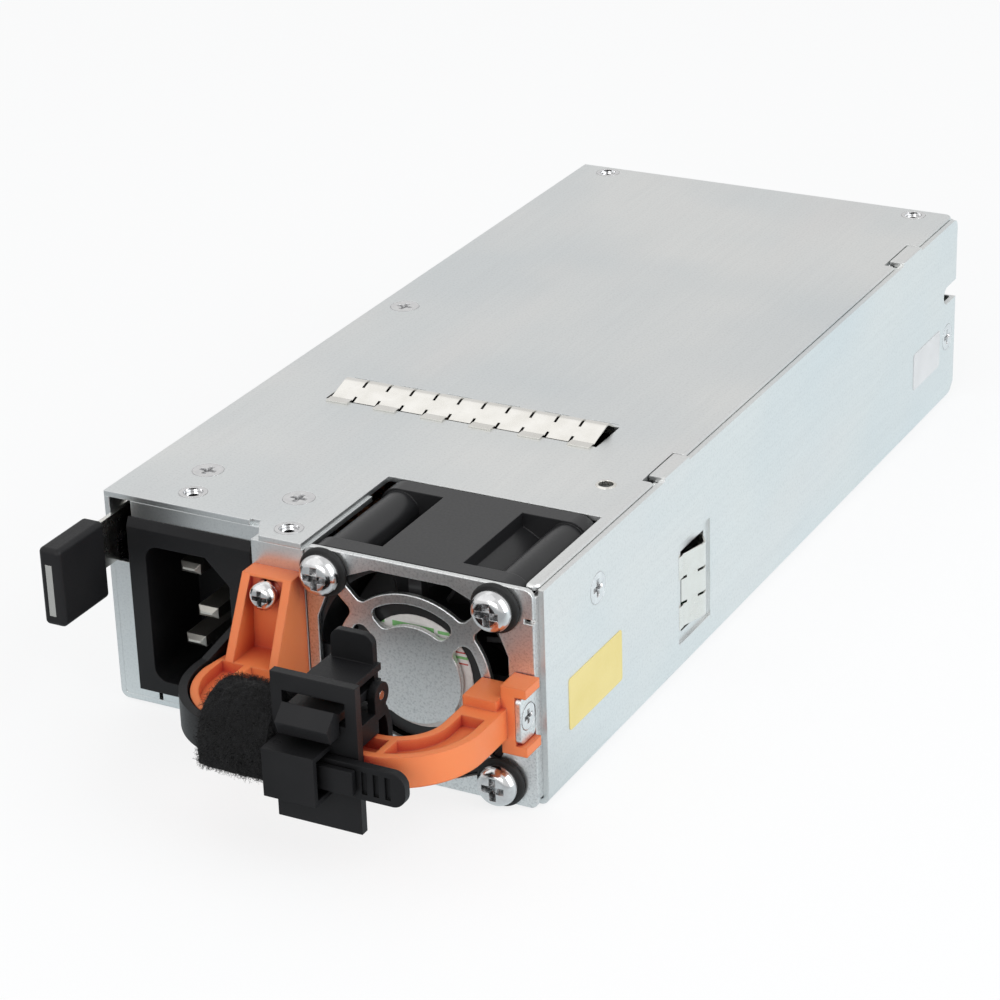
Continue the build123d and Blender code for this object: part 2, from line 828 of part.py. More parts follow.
def panel_rivets():
    """Dished eyelets that hold the cover to the front and rear flanges."""
    eyelets = []
    for x, y in rivet_places:
        eyelet = sunk_screw((x, y, case_height), (0, 0, 1), rivet_head_radius, rivet_radius, 2 * sheet)
        dish = rod((x, y, case_height), (0, 0, -1), rivet_dish_radius, recess_depth)
        bore = rod((x, y, case_height), (0, 0, -1), rivet_bore, case_height)
        eyelets.append(eyelet - dish - bore)
    return group(eyelets)


def rear_panel():
    """The rear wall with air holes, the slot for the card edge and a flange under the cover."""
    wall = block((-wall_in, wall_in), (case_rear - sheet, case_rear), (sheet, cover_low))
    wall = chamfer(wall.edges().filter_by(Axis.Y).group_by(Axis.Z)[0], bend_radius - sheet)
    flange_rear = case_rear - sheet
    wall += block((-wall_in + slip, wall_in - 2 * sheet), (flange_rear - rear_flange_depth, flange_rear),
                  (under_flange, cover_low))
    tab_half = 2 * screw_head_radius
    wall += block((wall_in - sheet - slip, wall_in - slip), (flange_rear - rear_flange_depth, flange_rear),
                  (rear_screw_z - tab_half, rear_screw_z + tab_half))
    for y, z in wall_screw_places:
        wall -= sunk_hole((half_width, y, z), (1, 0, 0), screw_head_radius, screw_radius, wall_screw_length)
    slot_half = card_width / 2 + card_slot_gap
    wall -= block((-slot_half, slot_half), (case_rear - 2 * sheet, case_rear + sheet),
                  (board_low - card_slot_gap, board_top + card_slot_gap))
    row_step = vent_pitch * math.sqrt(3) / 2
    for row in range(vent_rows):
        shift = vent_pitch / 2 * (row % 2)
        for column in range(vent_columns - row % 2):
            x = (column - (vent_columns - 1) / 2) * vent_pitch + shift
            middle = (x, case_rear, vent_low + row * row_step)
            place = Plane(origin=middle, x_dir=(1, 0, 0), z_dir=(0, -1, 0))
            hexagon = RegularPolygon(vent_flat / 2, 6, major_radius=False, rotation=90)
            wall -= extrude(place * hexagon, 2 * sheet, both=True)
    for x, y in rivet_places:
        wall -= rod((x, y, case_height), (0, 0, -1), rivet_radius + hole_gap, 3 * sheet)
    return wall - rear_notch((wall_in - 2 * sheet, wall_in), 2 * sheet)


def inlet_body_ranges(gap):
    """The inlet body behind its flange, as X and Z ranges grown by a gap."""
    across = (inlet_left + inlet_lip - gap, inlet_right - inlet_lip + gap)
    height = (inlet_low + inlet_lip - gap, inlet_high - inlet_lip + gap)
    return across, height


def inlet_panel():
    """The stepped front panel that holds the inlet, with the handle's post and a flange under the cover."""
    strip_right = inlet_left + inlet_lip / 2
    fold = bend_radius - sheet
    panel = front_prism([(-wall_in, sheet + fold), (-wall_in + fold, sheet), (cover_step_x, sheet),
                         (cover_step_x, cover_low), (strip_right, cover_low), (strip_right, panel_strip_top),
                         (-wall_in, panel_strip_top)], panel_front, panel_rear)
    panel += block((cover_step_x - sheet, cover_step_x), (0, panel_front), (sheet, cover_low))
    panel += block((cover_step_x - sheet, post_right), (0, sheet), (sheet, cover_low))
    flange = [(strip_right, panel_front), (cover_step_x - sheet, panel_front), (cover_step_x - sheet, 0),
              (post_right, 0), (post_right, panel_flange_depth), (-wall_in + slip, panel_flange_depth),
              (-wall_in + slip, panel_rear + sheet), (strip_right, panel_rear + sheet)]
    panel += plan_prism(flange, under_flange, cover_low)
    across, height = inlet_body_ranges(panel_gap)
    panel -= block(across, (panel_front - sheet, panel_rear + sheet), height)
    slit_half = panel_slit_width / 2
    panel -= block((panel_slit_x - slit_half, panel_slit_x + slit_half), (0, panel_rear + sheet),
                   (0, sheet + panel_slit_height))
    panel -= rod((leg_screw_x, -sheet, leg_screw_z), (0, 1, 0), leg_screw_radius + hole_gap, 3 * sheet)
    for spot in cover_screw_places:
        panel -= sunk_hole((*spot, case_height), (0, 0, 1), screw_head_radius, screw_radius,
                           cover_screw_length)
    for x, y in rivet_places:
        panel -= rod((x, y, case_height), (0, 0, -1), rivet_radius + hole_gap, 3 * sheet)
    return panel


def inlet_mouth(depth):
    """The shaped hollow of the inlet: two corners cut off on its earth side."""
    mouth = Rectangle(inlet_mouth_width, inlet_mouth_height)
    mouth = chamfer(mouth.vertices().group_by(Axis.X)[-1], inlet_mouth_chamfer)
    mouth = fillet(mouth.vertices().group_by(Axis.X)[0], inlet_mouth_round)
    front = Plane(origin=(inlet_mouth_x, inlet_front, inlet_mouth_z), x_dir=(1, 0, 0), z_dir=(0, -1, 0))
    return extrude(front * mouth, -depth)


def inlet_housing():
    """The moulded mains inlet: flange, body, hollow and the snap wedges behind the panel."""
    flange = block((inlet_left, inlet_right), (inlet_front, panel_front), (inlet_low, inlet_high))
    slope = side_prism([(inlet_front, inlet_high - inlet_flange_slope), (inlet_front, inlet_high),
                        (inlet_front + inlet_flange_chamfer, inlet_high)], inlet_left, inlet_right)
    housing = flange - slope
    across, height = inlet_body_ranges(0)
    body_rear = panel_front + inlet_body_depth
    housing += block(across, (panel_front, body_rear), height)
    wedge_front = panel_rear + panel_gap
    for z, direction in ((height[1], 1), (height[0], -1)):
        tip = z + direction * inlet_lip
        wedge = side_prism([(wedge_front, z), (wedge_front, tip), (wedge_front + inlet_wedge_length, z)],
                           across[0] + inlet_wedge_length, across[1] - inlet_wedge_length)
        housing += wedge if direction > 0 else wedge & block(across, (0, body_rear), (sheet + panel_gap, z))
    housing -= inlet_mouth(inlet_mouth_depth)
    for x, z, reach in pin_places():
        housing -= block((x - pin_width / 2, x + pin_width / 2), (inlet_front, body_rear + sheet),
                         (z - pin_thickness / 2, z + pin_thickness / 2))
    return housing


def pin_places():
    """Middle of each contact blade and how far it reaches forward of the hollow's floor."""
    line_x = inlet_mouth_x - pin_shift - pin_offset / 2
    middle_z = inlet_mouth_z + pin_lift
    return [(line_x, middle_z - pin_pitch / 2, pin_reach),
            (line_x, middle_z + pin_pitch / 2, pin_reach),
            (line_x + pin_offset, middle_z, pin_reach + earth_extra)]


def inlet_pins():
    """Three contact blades with bevelled tips and solder tails."""
    floor = inlet_front + inlet_mouth_depth
    tail_end = panel_front + inlet_body_depth + pin_tail
    blades = []
    for x, z, reach in pin_places():
        blade = block((x - pin_width / 2, x + pin_width / 2), (floor - reach, tail_end),
                      (z - pin_thickness / 2, z + pin_thickness / 2))
        tip = blade.faces().sort_by(Axis.Y)[0].edges()
        blades.append(chamfer(tip, pin_bevel))
    return group(blades)


def bent_tube(points, radius, bend):
    """A wire along straight runs joined by tangent arcs."""
    path = FilletPolyline(*points, radius=bend)
    start = Plane(origin=path @ 0, z_dir=path % 0)
    return sweep(start * Circle(radius), path=path)


def inlet_leads():
    """Wires from the inlet's tails down to the board."""
    tail_end = panel_front + inlet_body_depth + pin_tail
    wires = []
    for number, (x, z, reach) in enumerate(pin_places()):
        landing = board_front + 2 * lead_bend + number * lead_spacing
        points = [(x, tail_end, z), (x, landing, z), (x, landing, board_top)]
        bend = min(lead_bend, bend_share * (z - board_top))
        wires.append(bent_tube(points, lead_radius, bend))
    return group(wires)


def fan_plate():
    """The front plate: punched grille, side folded back along the wall and a tab for the handle."""
    plate = block((plate_left, wall_in), (0, sheet), (0, case_height))
    front_corners = plate.edges().filter_by(Axis.Y)
    plate = fillet(front_corners, bend_radius)
    plate += block((wall_in - sheet, wall_in), (0, plate_flange_depth),
                   (sheet + plate_flange_gap, cover_low - plate_flange_gap))
    tab = block((wall_in - sheet, wall_in), (-side_tab_length, 0), (side_tab_low, side_tab_high))
    plate += fillet(tab.edges().filter_by(Axis.X).group_by(Axis.Y)[0], side_tab_round)
    face = Plane(origin=(fan_x, 0, fan_z), x_dir=(1, 0, 0), z_dir=(0, -1, 0))
    spokes = Rot(0, 0, 45) * (Rectangle(2 * fan_size, grille_spoke) + Rectangle(grille_spoke, 2 * fan_size))
    opening = Rectangle(2 * grille_half, 2 * grille_half)
    opening = chamfer(opening.vertices(), grille_corner)
    outer = opening - Circle(grille_ring_radius) - spokes
    inner = Circle(grille_slot_radius) - Circle(grille_disc_radius) - spokes
    for window in (outer + inner).faces():
        window = fillet(window.vertices(), grille_round)
        plate -= extrude(face * window, 2 * sheet, both=True)
    for x, z in fan_corners:
        plate -= rod((x, -sheet, z), (0, 1, 0), grommet_neck_radius + hole_gap, 3 * sheet)
    plate -= block((wall_in - plate_notch_depth, wall_in + sheet), (-sheet, 2 * sheet),
                   (plate_notch_z, plate_notch_z + plate_notch_height))
    plate -= sunk_hole((wall_in, side_screw_y, side_screw_z), (1, 0, 0), side_screw_head, screw_radius,
                       2 * sheet)
    plate -= sunk_hole((half_width, wall_screw_y, wall_screw_z), (1, 0, 0), screw_head_radius, screw_radius,
                       wall_screw_length)
    return plate


def fan_grommets():
    """Rubber rings between the fan's screws and the plate, with a neck through the plate."""
    rings = []
    for x, z in fan_corners:
        ring = rod((x, 0, z), (0, -1, 0), grommet_radius, grommet_height)
        ring = fillet(ring.edges().filter_by(GeomType.CIRCLE), grommet_round)
        ring += rod((x, 0, z), (0, 1, 0), grommet_neck_radius, fan_front)
        bore = rod((x, -2 * grommet_height, z), (0, 1, 0), fan_screw_radius + hole_gap, fan_size)
        rings.append(ring - bore)
    return group(rings)


def fan_screws():
    """Large pan-head screws that hold the fan to its plate."""
    return group([pan_screw((x, -grommet_height, z), (0, -1, 0), fan_screw_head, fan_screw_dome,
                            fan_screw_radius, fan_screw_length) for x, z in fan_corners])


def fan_frame():
    """The moulded fan housing: two flanges, barrel, corner pillars and the struts of the motor hub."""
    axis_start = Plane(origin=(fan_x, fan_front, fan_z), x_dir=(1, 0, 0), z_dir=(0, 1, 0))
    square = fillet(Rectangle(fan_size, fan_size).vertices(), fan_pillar_radius)
    pillars = [Pos(sx * fan_hole_reach, sz * fan_hole_reach) * Circle(fan_pillar_radius)
               for sx in (-1, 1) for sz in (-1, 1)]
    barrel = Circle(fan_size / 2 - sheet) + pillars
    barrel += Rectangle(fan_flat_width, fan_size) + Rectangle(fan_size, fan_flat_width)
    frame = extrude(axis_start * barrel, fan_depth)
    frame += extrude(axis_start * square, fan_flange)
    frame += extrude(axis_start.offset(fan_depth - fan_flange) * square, fan_flange)
    frame -= extrude(axis_start * Circle(fan_bore_radius), fan_depth)
    hub_start = axis_start.offset(fan_hub_recess)
    struts = [Rot(0, 0, 360 / fan_strut_count * number) * Pos(fan_bore_radius / 2, 0)
              * Rectangle(fan_bore_radius + sheet, fan_strut_width) for number in range(fan_strut_count)]
    frame += extrude(hub_start * (Circle(fan_hub_radius) + struts), fan_hub_thickness)
    for x, z in fan_corners:
        frame -= rod((x, 0, z), (0, 1, 0), fan_hole_radius, fan_size)
    return frame


def fan_label():
    """The round paper label on the motor hub."""
    return rod((fan_x, hub_front, fan_z), (0, -1, 0), label_radius, label_thickness)


def fan_bearing():
    """The bearing sleeve that stands on the hub."""
    bore = shaft_radius + running_gap
    return tube((fan_x, hub_rear, fan_z), (0, 1, 0), bearing_radius, bore, bearing_length)


def fan_stator():
    """The wound core around the bearing sleeve, with pole shoes."""
    start = Plane(origin=(fan_x, rotor_front + rotor_gap, fan_z), x_dir=(1, 0, 0), z_dir=(0, 1, 0))
    step = 360 / stator_poles
    core = Circle(stator_radius * core_share)
    shoes = Circle(stator_radius) - Circle(stator_radius * shoe_share)
    for number in range(stator_poles):
        pole = Pos(stator_radius / 2, 0) * Rectangle(stator_radius, stator_radius * pole_width_share)
        gap = Pos(stator_radius, 0) * Rectangle(stator_radius, 2 * sheet)
        core += Rot(0, 0, step * number) * pole
        shoes -= Rot(0, 0, step * (number + 0.5)) * gap
    section = (core & Circle(stator_radius)) + shoes
    return extrude(start * (section - Circle(bearing_radius)), stator_length)


def fan_shaft():
    """The steel shaft, fixed in the rotor's end and turning in the bearing."""
    reach = rotor_rear - rotor_end_wall
    return rod((fan_x, reach, fan_z), (0, -1, 0), shaft_radius, reach - rotor_front)


def fan_magnet():
    """The ring magnet inside the rotor cup."""
    inner = rotor_radius - rotor_wall
    start = (fan_x, rotor_front + rotor_gap, fan_z)
    return tube(start, (0, 1, 0), inner, inner - magnet_thickness, stator_length)


def fan_rotor():
    """The impeller: a cup closed at the rear, with twisted blades."""
    start = Plane(origin=(fan_x, rotor_front, fan_z), x_dir=(1, 0, 0), z_dir=(0, 1, 0))
    origin = (0, 0, 0)
    up = (0, 0, 1)
    cup = rod(origin, up, rotor_radius, rotor_length)
    cup -= rod(origin, up, rotor_radius - rotor_wall, rotor_length - rotor_end_wall)
    ring = tube(origin, up, blade_radius, rotor_radius - rotor_wall / 2, rotor_length)
    sections = []
    root = rotor_radius - 2 * sheet
    tip = blade_radius + 2 * sheet
    for radius, pitch in ((root, blade_root_pitch), (tip, blade_tip_pitch)):
        out = Plane(origin=(radius, 0, rotor_length / 2), x_dir=(0, 1, 0), z_dir=(1, 0, 0))
        sections.append(out * Rot(0, 0, pitch) * Rectangle(blade_chord, blade_thickness))
    blade = loft(sections, ruled=True) & ring
    for number in range(blade_count):
        cup += Rot(0, 0, 360 / blade_count * number) * blade
    return start.location * cup


def bar_outline(inset):
    """The handle's bar seen from above, with its rims moved in by an inset."""
    outer = Rectangle(bar_right - bar_left - 2 * inset, -bar_front - inset)
    outer = Pos((bar_left + bar_right) / 2, (bar_front + inset) / 2) * outer
    outer = fillet(outer.vertices().group_by(Axis.Y)[0], bar_corner - inset)
    inner = Rectangle(bar_right - bar_left - 2 * bar_width + 2 * inset, -bar_front - bar_width + inset)
    inner = Pos((bar_left + bar_right) / 2, (bar_front + bar_width - inset) / 2) * inner
    inner = fillet(inner.vertices().group_by(Axis.Y)[0], bar_corner - bar_width + inset)
    return outer - inner


def lean_wedge():
    """What is cut off the bar's left side, which leans in from the corner to the leg."""
    return [(bar_left, corner_y), (leg_left, 0), (leg_left, sheet), (bar_left - sheet, sheet),
            (bar_left - sheet, corner_y)]


def leg_shape(side, front, back, roof):
    """The tapered leg, moved in by a rib's width at its sides and top for the channel."""
    high = leg_top - roof
    profile = side_prism([(back, bar_low), (front - leg_depth, bar_low), (front - leg_depth, bar_top),
                          (front - leg_top_depth, high), (back, high)], bar_left, leg_right)
    left = leg_left + side
    right = leg_right - side
    taper = front_prism([(left, bar_low), (right, bar_low), (right, bar_top), (leg_top_right - side, leg_top),
                         (leg_top_left + side, leg_top), (left, bar_top)], -case_width, case_width)
    return profile & taper


def handle():
    """The moulded carrying handle: ribbed bar, channel leg on the left and side bracket on the right."""
    bar = extrude(Plane.XY.offset(bar_low) * bar_outline(0), bar_height)
    bar -= block((leg_right, bar_right + sheet), (-bracket_gap, sheet), (0, case_height))
    bar -= plan_prism(lean_wedge(), 0, case_height)
    pocket = bar_outline(bar_rim) & (Pos((bar_left + bar_right) / 2, (bar_front - leg_depth) / 2)
                                     * Rectangle(case_width, -bar_front - leg_depth))
    for x in bar_rib_places:
        pocket -= Pos(x, bar_front) * Rectangle(bar_rib, -bar_front)
    bar -= extrude(Plane.XY.offset(bar_top - bar_pocket_depth) * pocket, bar_pocket_depth)
    bar -= extrude(Plane.XY.offset(bar_low) * pocket, bar_pocket_depth)
    bar += leg_shape(0, 0, 0, 0)
    channel = leg_shape(leg_rib, -leg_depth, -leg_floor, leg_roof)
    bar -= channel & block((bar_left, leg_right), (-2 * leg_depth, 0), (bar_top, leg_top))
    along = (-side_tab_length, -bracket_gap)
    bar += block((bracket_left, wall_in - sheet), along, (bracket_low, bracket_high))
    bar += block((bracket_left, half_width), along, (bracket_low, side_tab_low - bracket_gap))
    bar += block((bracket_left, half_width), along, (side_tab_high + bracket_gap, bracket_high))
    bar += block((bar_right - bar_width, bracket_left), (-gusset_depth, -bracket_gap),
                 (bar_top, bar_top + gusset_height))
    bar -= rod((leg_screw_x, -leg_depth, leg_screw_z), (0, 1, 0), leg_screw_radius + hole_gap, 2 * leg_depth)
    tap = (wall_in, side_screw_y, side_screw_z)
    return bar - rod(tap, (-1, 0, 0), screw_radius + hole_gap, side_screw_length + slip)


def handle_front_screw():
    """The pan-head screw through the handle's leg."""
    seat = -leg_floor - flat_washer_thickness - washer_thickness
    return pan_screw((leg_screw_x, seat, leg_screw_z), (0, -1, 0), leg_screw_head, leg_screw_dome,
                     leg_screw_radius, leg_screw_length)


def handle_lock_washer():
    """The flat washer and the split spring washer under that screw."""
    bore = leg_screw_radius + hole_gap
    flat = tube((leg_screw_x, -leg_floor, leg_screw_z), (0, -1, 0), leg_screw_head, bore, flat_washer_thickness)
    start = (leg_screw_x, -leg_floor - flat_washer_thickness, leg_screw_z)
    ring = tube(start, (0, -1, 0), leg_screw_head, bore, washer_thickness)
    split = block((leg_screw_x - washer_split / 2, leg_screw_x + washer_split / 2), (-leg_depth, 0),
                  (leg_screw_z, leg_screw_z + 2 * leg_screw_head))
    return group([flat, ring - split])


def handle_side_screw():
    """The countersunk screw through the plate's tab into the handle."""
    top = (wall_in, side_screw_y, side_screw_z)
    return sunk_screw(top, (1, 0, 0), side_screw_head, screw_radius, side_screw_length)


def retainer_body():
    """The clip on the bar: face plate with window, ratchet housing, saddle over the bar and hinge ears."""
    across = (clip_left, clip_right)
    body = block(across, (clip_front, clip_back), (clip_low, clip_high))
    body -= block((clip_left + window_margin, clip_right - window_margin),
                  (clip_front - sheet, clip_back + sheet), (window_low, window_high))
    ratchet = block((ratchet_left, ratchet_right), (ratchet_front, clip_front), (ratchet_low, ratchet_high))
    ratchet -= block((clip_left, clip_right), (ratchet_front + ratchet_wall, clip_front),
                     (ratchet_low + ratchet_wall, ratchet_high - ratchet_wall))
    body += ratchet
    inner = (clip_left + saddle_sheet, clip_right - saddle_sheet)
    deck = (saddle_deck_z, saddle_deck_z + saddle_sheet)
    body += block(inner, (clip_back, saddle_rear), deck)
    for low, high in ((inner[0], inner[0] + saddle_sheet), (inner[1] - saddle_sheet, inner[1])):
        body += block((low, high), (clip_back, bar_front + bar_width), (bar_top + saddle_gap, deck[0]))
    body += saddle_hook(inner)
    for low in (inner[0], inner[1] - ear_thickness):
        ear = rod((low, pivot_y, pivot_z), (1, 0, 0), ear_radius, ear_thickness)
        ear += block((low, low + ear_thickness), (pivot_y - ear_radius, pivot_y + ear_radius - sheet),
                     (deck[0], pivot_z))
        body += ear
    body -= rod((clip_left, pivot_y, pivot_z), (1, 0, 0), pivot_radius + pin_fit_gap, clip_width)
    trunnion = (pawl_left, pawl_y, ratchet_low - sheet)
    return body - rod(trunnion, (0, 0, 1), pawl_trunnion_radius + pin_fit_gap, case_height)


def saddle_hook(across):
    """The curved band behind the bar that ends in a lip under it."""
    top = saddle_deck_z + saddle_sheet
    foot = bar_low - saddle_gap
    under = foot - saddle_sheet
    middle = (top + foot) / 2
    front = saddle_rear - saddle_sheet
    tip = front - saddle_lip
    band = make_face([
        Line((front, top), (saddle_rear, top)),
        ThreePointArc((saddle_rear, top), (saddle_rear + saddle_sheet, middle), (saddle_rear, under)),
        Polyline((saddle_rear, under), (tip, under), (tip, foot), (front, foot)),
        ThreePointArc((front, foot), (saddle_rear, middle), (front, top))])
    return extrude(Plane.YZ.offset(across[0]) * band, across[1] - across[0])


def retainer_pin():
    """The hinge pin of the release lever, held in the ears."""
    low = clip_left + saddle_sheet
    return rod((low, pivot_y, pivot_z), (1, 0, 0), pivot_radius, clip_width - 2 * saddle_sheet)


def retainer_lever():
    """The release lever: barrel on the pin, thumb tab, shelf through the window and barb in front."""
    ear_in = saddle_sheet + ear_thickness + lever_side_gap
    barrel = (clip_left + ear_in, clip_right - ear_in)
    lever = rod((barrel[0], pivot_y, pivot_z), (1, 0, 0), lever_barrel_radius, barrel[1] - barrel[0])
    shelf_z = (pivot_z, pivot_z + lever_shelf)
    thumb_across = (clip_left + thumb_offset, clip_left + thumb_offset + thumb_width)
    thumb_front = pivot_y + lever_barrel_radius - slip
    thumb_along = (thumb_front, thumb_front + thumb_sheet)
    back = clip_front - barb_gap
    barb_across = (clip_left + barb_margin, clip_right - barb_margin)
    lever += block(barb_across, (back, thumb_along[1]), shelf_z)
    deck_low = pivot_z + ear_radius + lever_deck_lift
    lever += block((thumb_across[0] - lever_deck_side, thumb_across[1] + lever_deck_side),
                   (clip_back + lever_deck_gap, thumb_along[1]), (deck_low, deck_low + lever_deck))
    thumb = block(thumb_across, thumb_along, (pivot_z, thumb_high))
    lever += fillet(thumb.edges().filter_by(Axis.Y).group_by(Axis.Z)[-1], thumb_round)
    low = pivot_z - barb_drop
    nose = [(back, shelf_z[1]), (back - barb_crown_reach, shelf_z[1] + sheet), (back - barb_reach, pivot_z),
            (back - barb_foot_reach, low), (back, low)]
    lever += side_prism(nose, *barb_across)
    return lever - rod((clip_left, pivot_y, pivot_z), (1, 0, 0), pivot_radius + pin_fit_gap, clip_width)


def retainer_pawl():
    """The sprung ratchet tongue: turns on trunnions in the housing and sticks out to be pressed."""
    half = pawl_height / 2
    middle = (ratchet_low + ratchet_high) / 2
    pawl = block((pawl_left, pawl_right), (pawl_y - pawl_thickness / 2, pawl_y + pawl_thickness / 2),
                 (middle - half, middle + half))
    root_gap = ratchet_wall + lever_side_gap
    pawl += rod((pawl_left, pawl_y, ratchet_low + root_gap), (0, 0, 1), pawl_thickness / 2,
                ratchet_high - ratchet_low - 2 * root_gap)
    trunnion = (pawl_left, pawl_y, ratchet_low)
    return pawl + rod(trunnion, (0, 0, 1), pawl_trunnion_radius, ratchet_high - ratchet_low)


def tangent_point(outside, radius, side):
    """Where a straight run from a point outside touches the circle round the bar's corner."""
    centre = Vector(corner_x, corner_y)
    reach = Vector(*outside) - centre
    bearing = math.atan2(reach.Y, reach.X) + side * math.acos(radius / reach.length)
    return (centre.X + radius * math.cos(bearing), centre.Y + radius * math.sin(bearing)), bearing


def strap_path():
    """The strap's middle line: beside the leg, round the bar's corner and straight through the ratchet."""
    offset = strap_bar_gap + strap_thickness / 2
    radius = bar_corner + offset
    end = (leg_left - offset, strap_end_y)
    entry = (ratchet_left, strap_y)
    touch, first = tangent_point(end, radius, 1)
    release, last = tangent_point(entry, radius, -1)
    middle = (first + last + 2 * math.pi) / 2
    turn = (corner_x + radius * math.cos(middle), corner_y + radius * math.sin(middle))
    return [end, touch, turn, release, entry, (strap_tail_right, strap_y)]


def thick_line(points, thickness, low, high):
    """The strap's solid along its middle line: rising end, arc round the corner, two straight runs."""
    end, touch, turn, release, entry, tail = points
    half = thickness / 2
    height = (low + high) / 2
    corner = ThreePointArc(touch, turn, release)
    path = Pos(0, 0, height) * Wire([corner, Line(release, entry)])
    back = Vector(*end) - Vector(*touch)
    start = Plane(origin=(*touch, height), x_dir=(-back.Y, back.X, 0), z_dir=-back)
    curved = sweep(start * Rectangle(thickness, high - low), path=path)
    side = Plane(origin=(*touch, 0), x_dir=back, z_dir=(back.Y, -back.X, 0))
    run = [(0, low), (back.length, low + strap_rise), (back.length, high + strap_rise), (0, high)]
    curved += extrude(side * make_face(Polyline(*run, close=True)), half, both=True)
    straight = block((entry[0], tail[0]), (tail[1] - half, tail[1] + half), (low, high))
    knee = rod((entry[0], entry[1], low), (0, 0, 1), half, high - low)
    return curved + straight + knee


def retention_strap():
    """The flat toothed strap with a rounded, grooved tail."""
    high = strap_low + strap_height
    strap = thick_line(strap_path(), strap_thickness, strap_low, high)
    tail_edges = strap.edges().filter_by(Axis.Y).group_by(Axis.X)[-1]
    strap = fillet(tail_edges, strap_tail_round)
    front = strap_y - strap_thickness / 2
    for number in range(strap_groove_count):
        right = strap_tail_right - strap_groove_start - number * strap_groove_pitch
        strap -= block((right - strap_groove_width, right), (front, front + strap_groove_depth),
                       (strap_low + sheet, high - sheet))
    return strap


def hook_loop_wrap():
    """The soft roll of hook-and-loop tape round the bar and the strap."""
    middle_y = bar_front + bar_width / 2 - strap_thickness / 2
    middle_z = bar_low + bar_height / 2
    width = 2 * wrap_half_width
    crown = Ellipse(wrap_half_width, wrap_crown) & Pos(0, wrap_crown) * Rectangle(width, 2 * wrap_crown)
    shape = crown + Pos(0, -wrap_drop / 2) * Rectangle(width, wrap_drop)
    shape = fillet(shape.vertices().group_by(Axis.Y)[0], wrap_rounding)
    section = Plane(origin=(corner_x, middle_y, middle_z), x_dir=(0, 1, 0), z_dir=(1, 0, 0)) * shape
    roll = extrude(section, wrap_right - corner_x)
    roll += revolve(section, Axis((corner_x, corner_y, 0), (0, 0, -1)), wrap_turn)
    clear = wrap_clearance
    bar = extrude(Plane.XY.offset(bar_low - clear) * bar_outline(-clear), bar_height + 2 * clear)
    strap = thick_line(strap_path(), strap_thickness + 2 * clear, strap_low - clear,
                       strap_low + strap_height + clear)
    return roll - bar - strap


def leaf_rivet_heights():
    """Heights of the two rivets that hold the latch leaf."""
    return [leaf_mid_z + side * leaf_rivet_spread / 2 for side in (-1, 1)]


def leaf_head(gap):
    """The doubled head at the leaf's front end, inside the grip, grown by a gap."""
    along = (grip_front, grip_rear - leaf_head_gap + gap)
    return block((leaf_left - gap, leaf_left + leaf_head_sheet + gap), along,
                 (leaf_head_low - gap, leaf_head_high + gap))


def latch_leaf():
    """The spring-steel leaf inside the left wall, with a tooth through the wall."""
    along = (grip_front + sheet, leaf_pivot_y + leaf_tail)
    leaf = block((leaf_left, leaf_right), along, (leaf_low, leaf_high)) + leaf_head(0)
    tip = -half_width - tooth_reach
    outline = [(leaf_left, tooth_front), (tip, tooth_front + sheet / 2), (tip, tooth_front + 2 * sheet),
               (leaf_left, tooth_front + tooth_length)]
    leaf += plan_prism(outline, leaf_low + tooth_margin, leaf_high - tooth_margin)
    for z in leaf_rivet_heights():
        leaf -= rod((-half_width, leaf_pivot_y, z), (1, 0, 0), leaf_rivet_radius + slip, 4 * sheet)
    return leaf


def latch_rivets():
    """Rivets from the left wall through the leaf."""
    rivets = []
    head = leaf_right + leaf_rivet_gap
    for z in leaf_rivet_heights():
        rivet = rod((-half_width, leaf_pivot_y, z), (1, 0, 0), leaf_rivet_radius, head + half_width)
        rivets.append(rivet + rod((head, leaf_pivot_y, z), (1, 0, 0), leaf_rivet_head, sheet))
    return group(rivets)


def latch_grip():
    """The rounded moulded grip on the leaf's front end, with the leaf's head showing in its slot."""
    grip = block((grip_left, grip_right), (grip_front, grip_rear), (grip_low, grip_high))
    grip = fillet(grip.edges(), grip_round)
    gap = grip_slot_gap
    slot = block((leaf_left - gap, leaf_right + gap), (grip_front + sheet - gap, grip_rear + sheet),
                 (leaf_low - gap, leaf_high + gap))
    return grip - slot - leaf_head(gap)


def main_board():
    """The circuit board with its card-edge tail and screw holes."""
    tail = card_width / 2
    end = case_rear + card_reach
    outline = [(-board_half, board_front), (board_half, board_front), (board_half, board_rear),
               (tail, board_rear), (tail, end), (-tail, end), (-tail, board_rear), (-board_half, board_rear)]
    board = plan_prism(outline, board_low, board_top)
    for x, y in standoff_places:
        board -= rod((x, y, 0), (0, 0, 1), board_screw_radius + hole_gap, case_height)
    return board


def edge_contacts():
    """Gold contact strips on both faces of the card edge."""
    end = case_rear + card_reach - sheet
    strips = []
    for number in range(contact_count):
        x = (number - (contact_count - 1) / 2) * contact_pitch
        across = (x - contact_width / 2, x + contact_width / 2)
        for low in (board_low - contact_thickness, board_top):
            strips.append(block(across, (end - contact_length, end), (low, low + contact_thickness)))
    return group(strips)


def board_standoffs():
    """Threaded pillars between the floor and the board."""
    bore = board_screw_radius + hole_gap
    return group([tube((*spot, sheet), (0, 0, 1), standoff_radius, bore, board_low - sheet)
                  for spot in standoff_places])


def board_screws():
    """Pan-head screws that hold the board to its pillars."""
    return group([pan_screw((x, y, board_top), (0, 0, 1), board_screw_head, board_screw_dome,
                            board_screw_radius, board_screw_length) for x, y in standoff_places])


def insulation_sheet():
    """The insulating film on the floor under the board, with holes for the pillars."""
    film = block((-board_half, board_half), (board_front, board_rear), (sheet, sheet + film_thickness))
    for x, y in standoff_places:
        film -= rod((x, y, 0), (0, 0, 1), standoff_radius + slip, case_height)
    return film


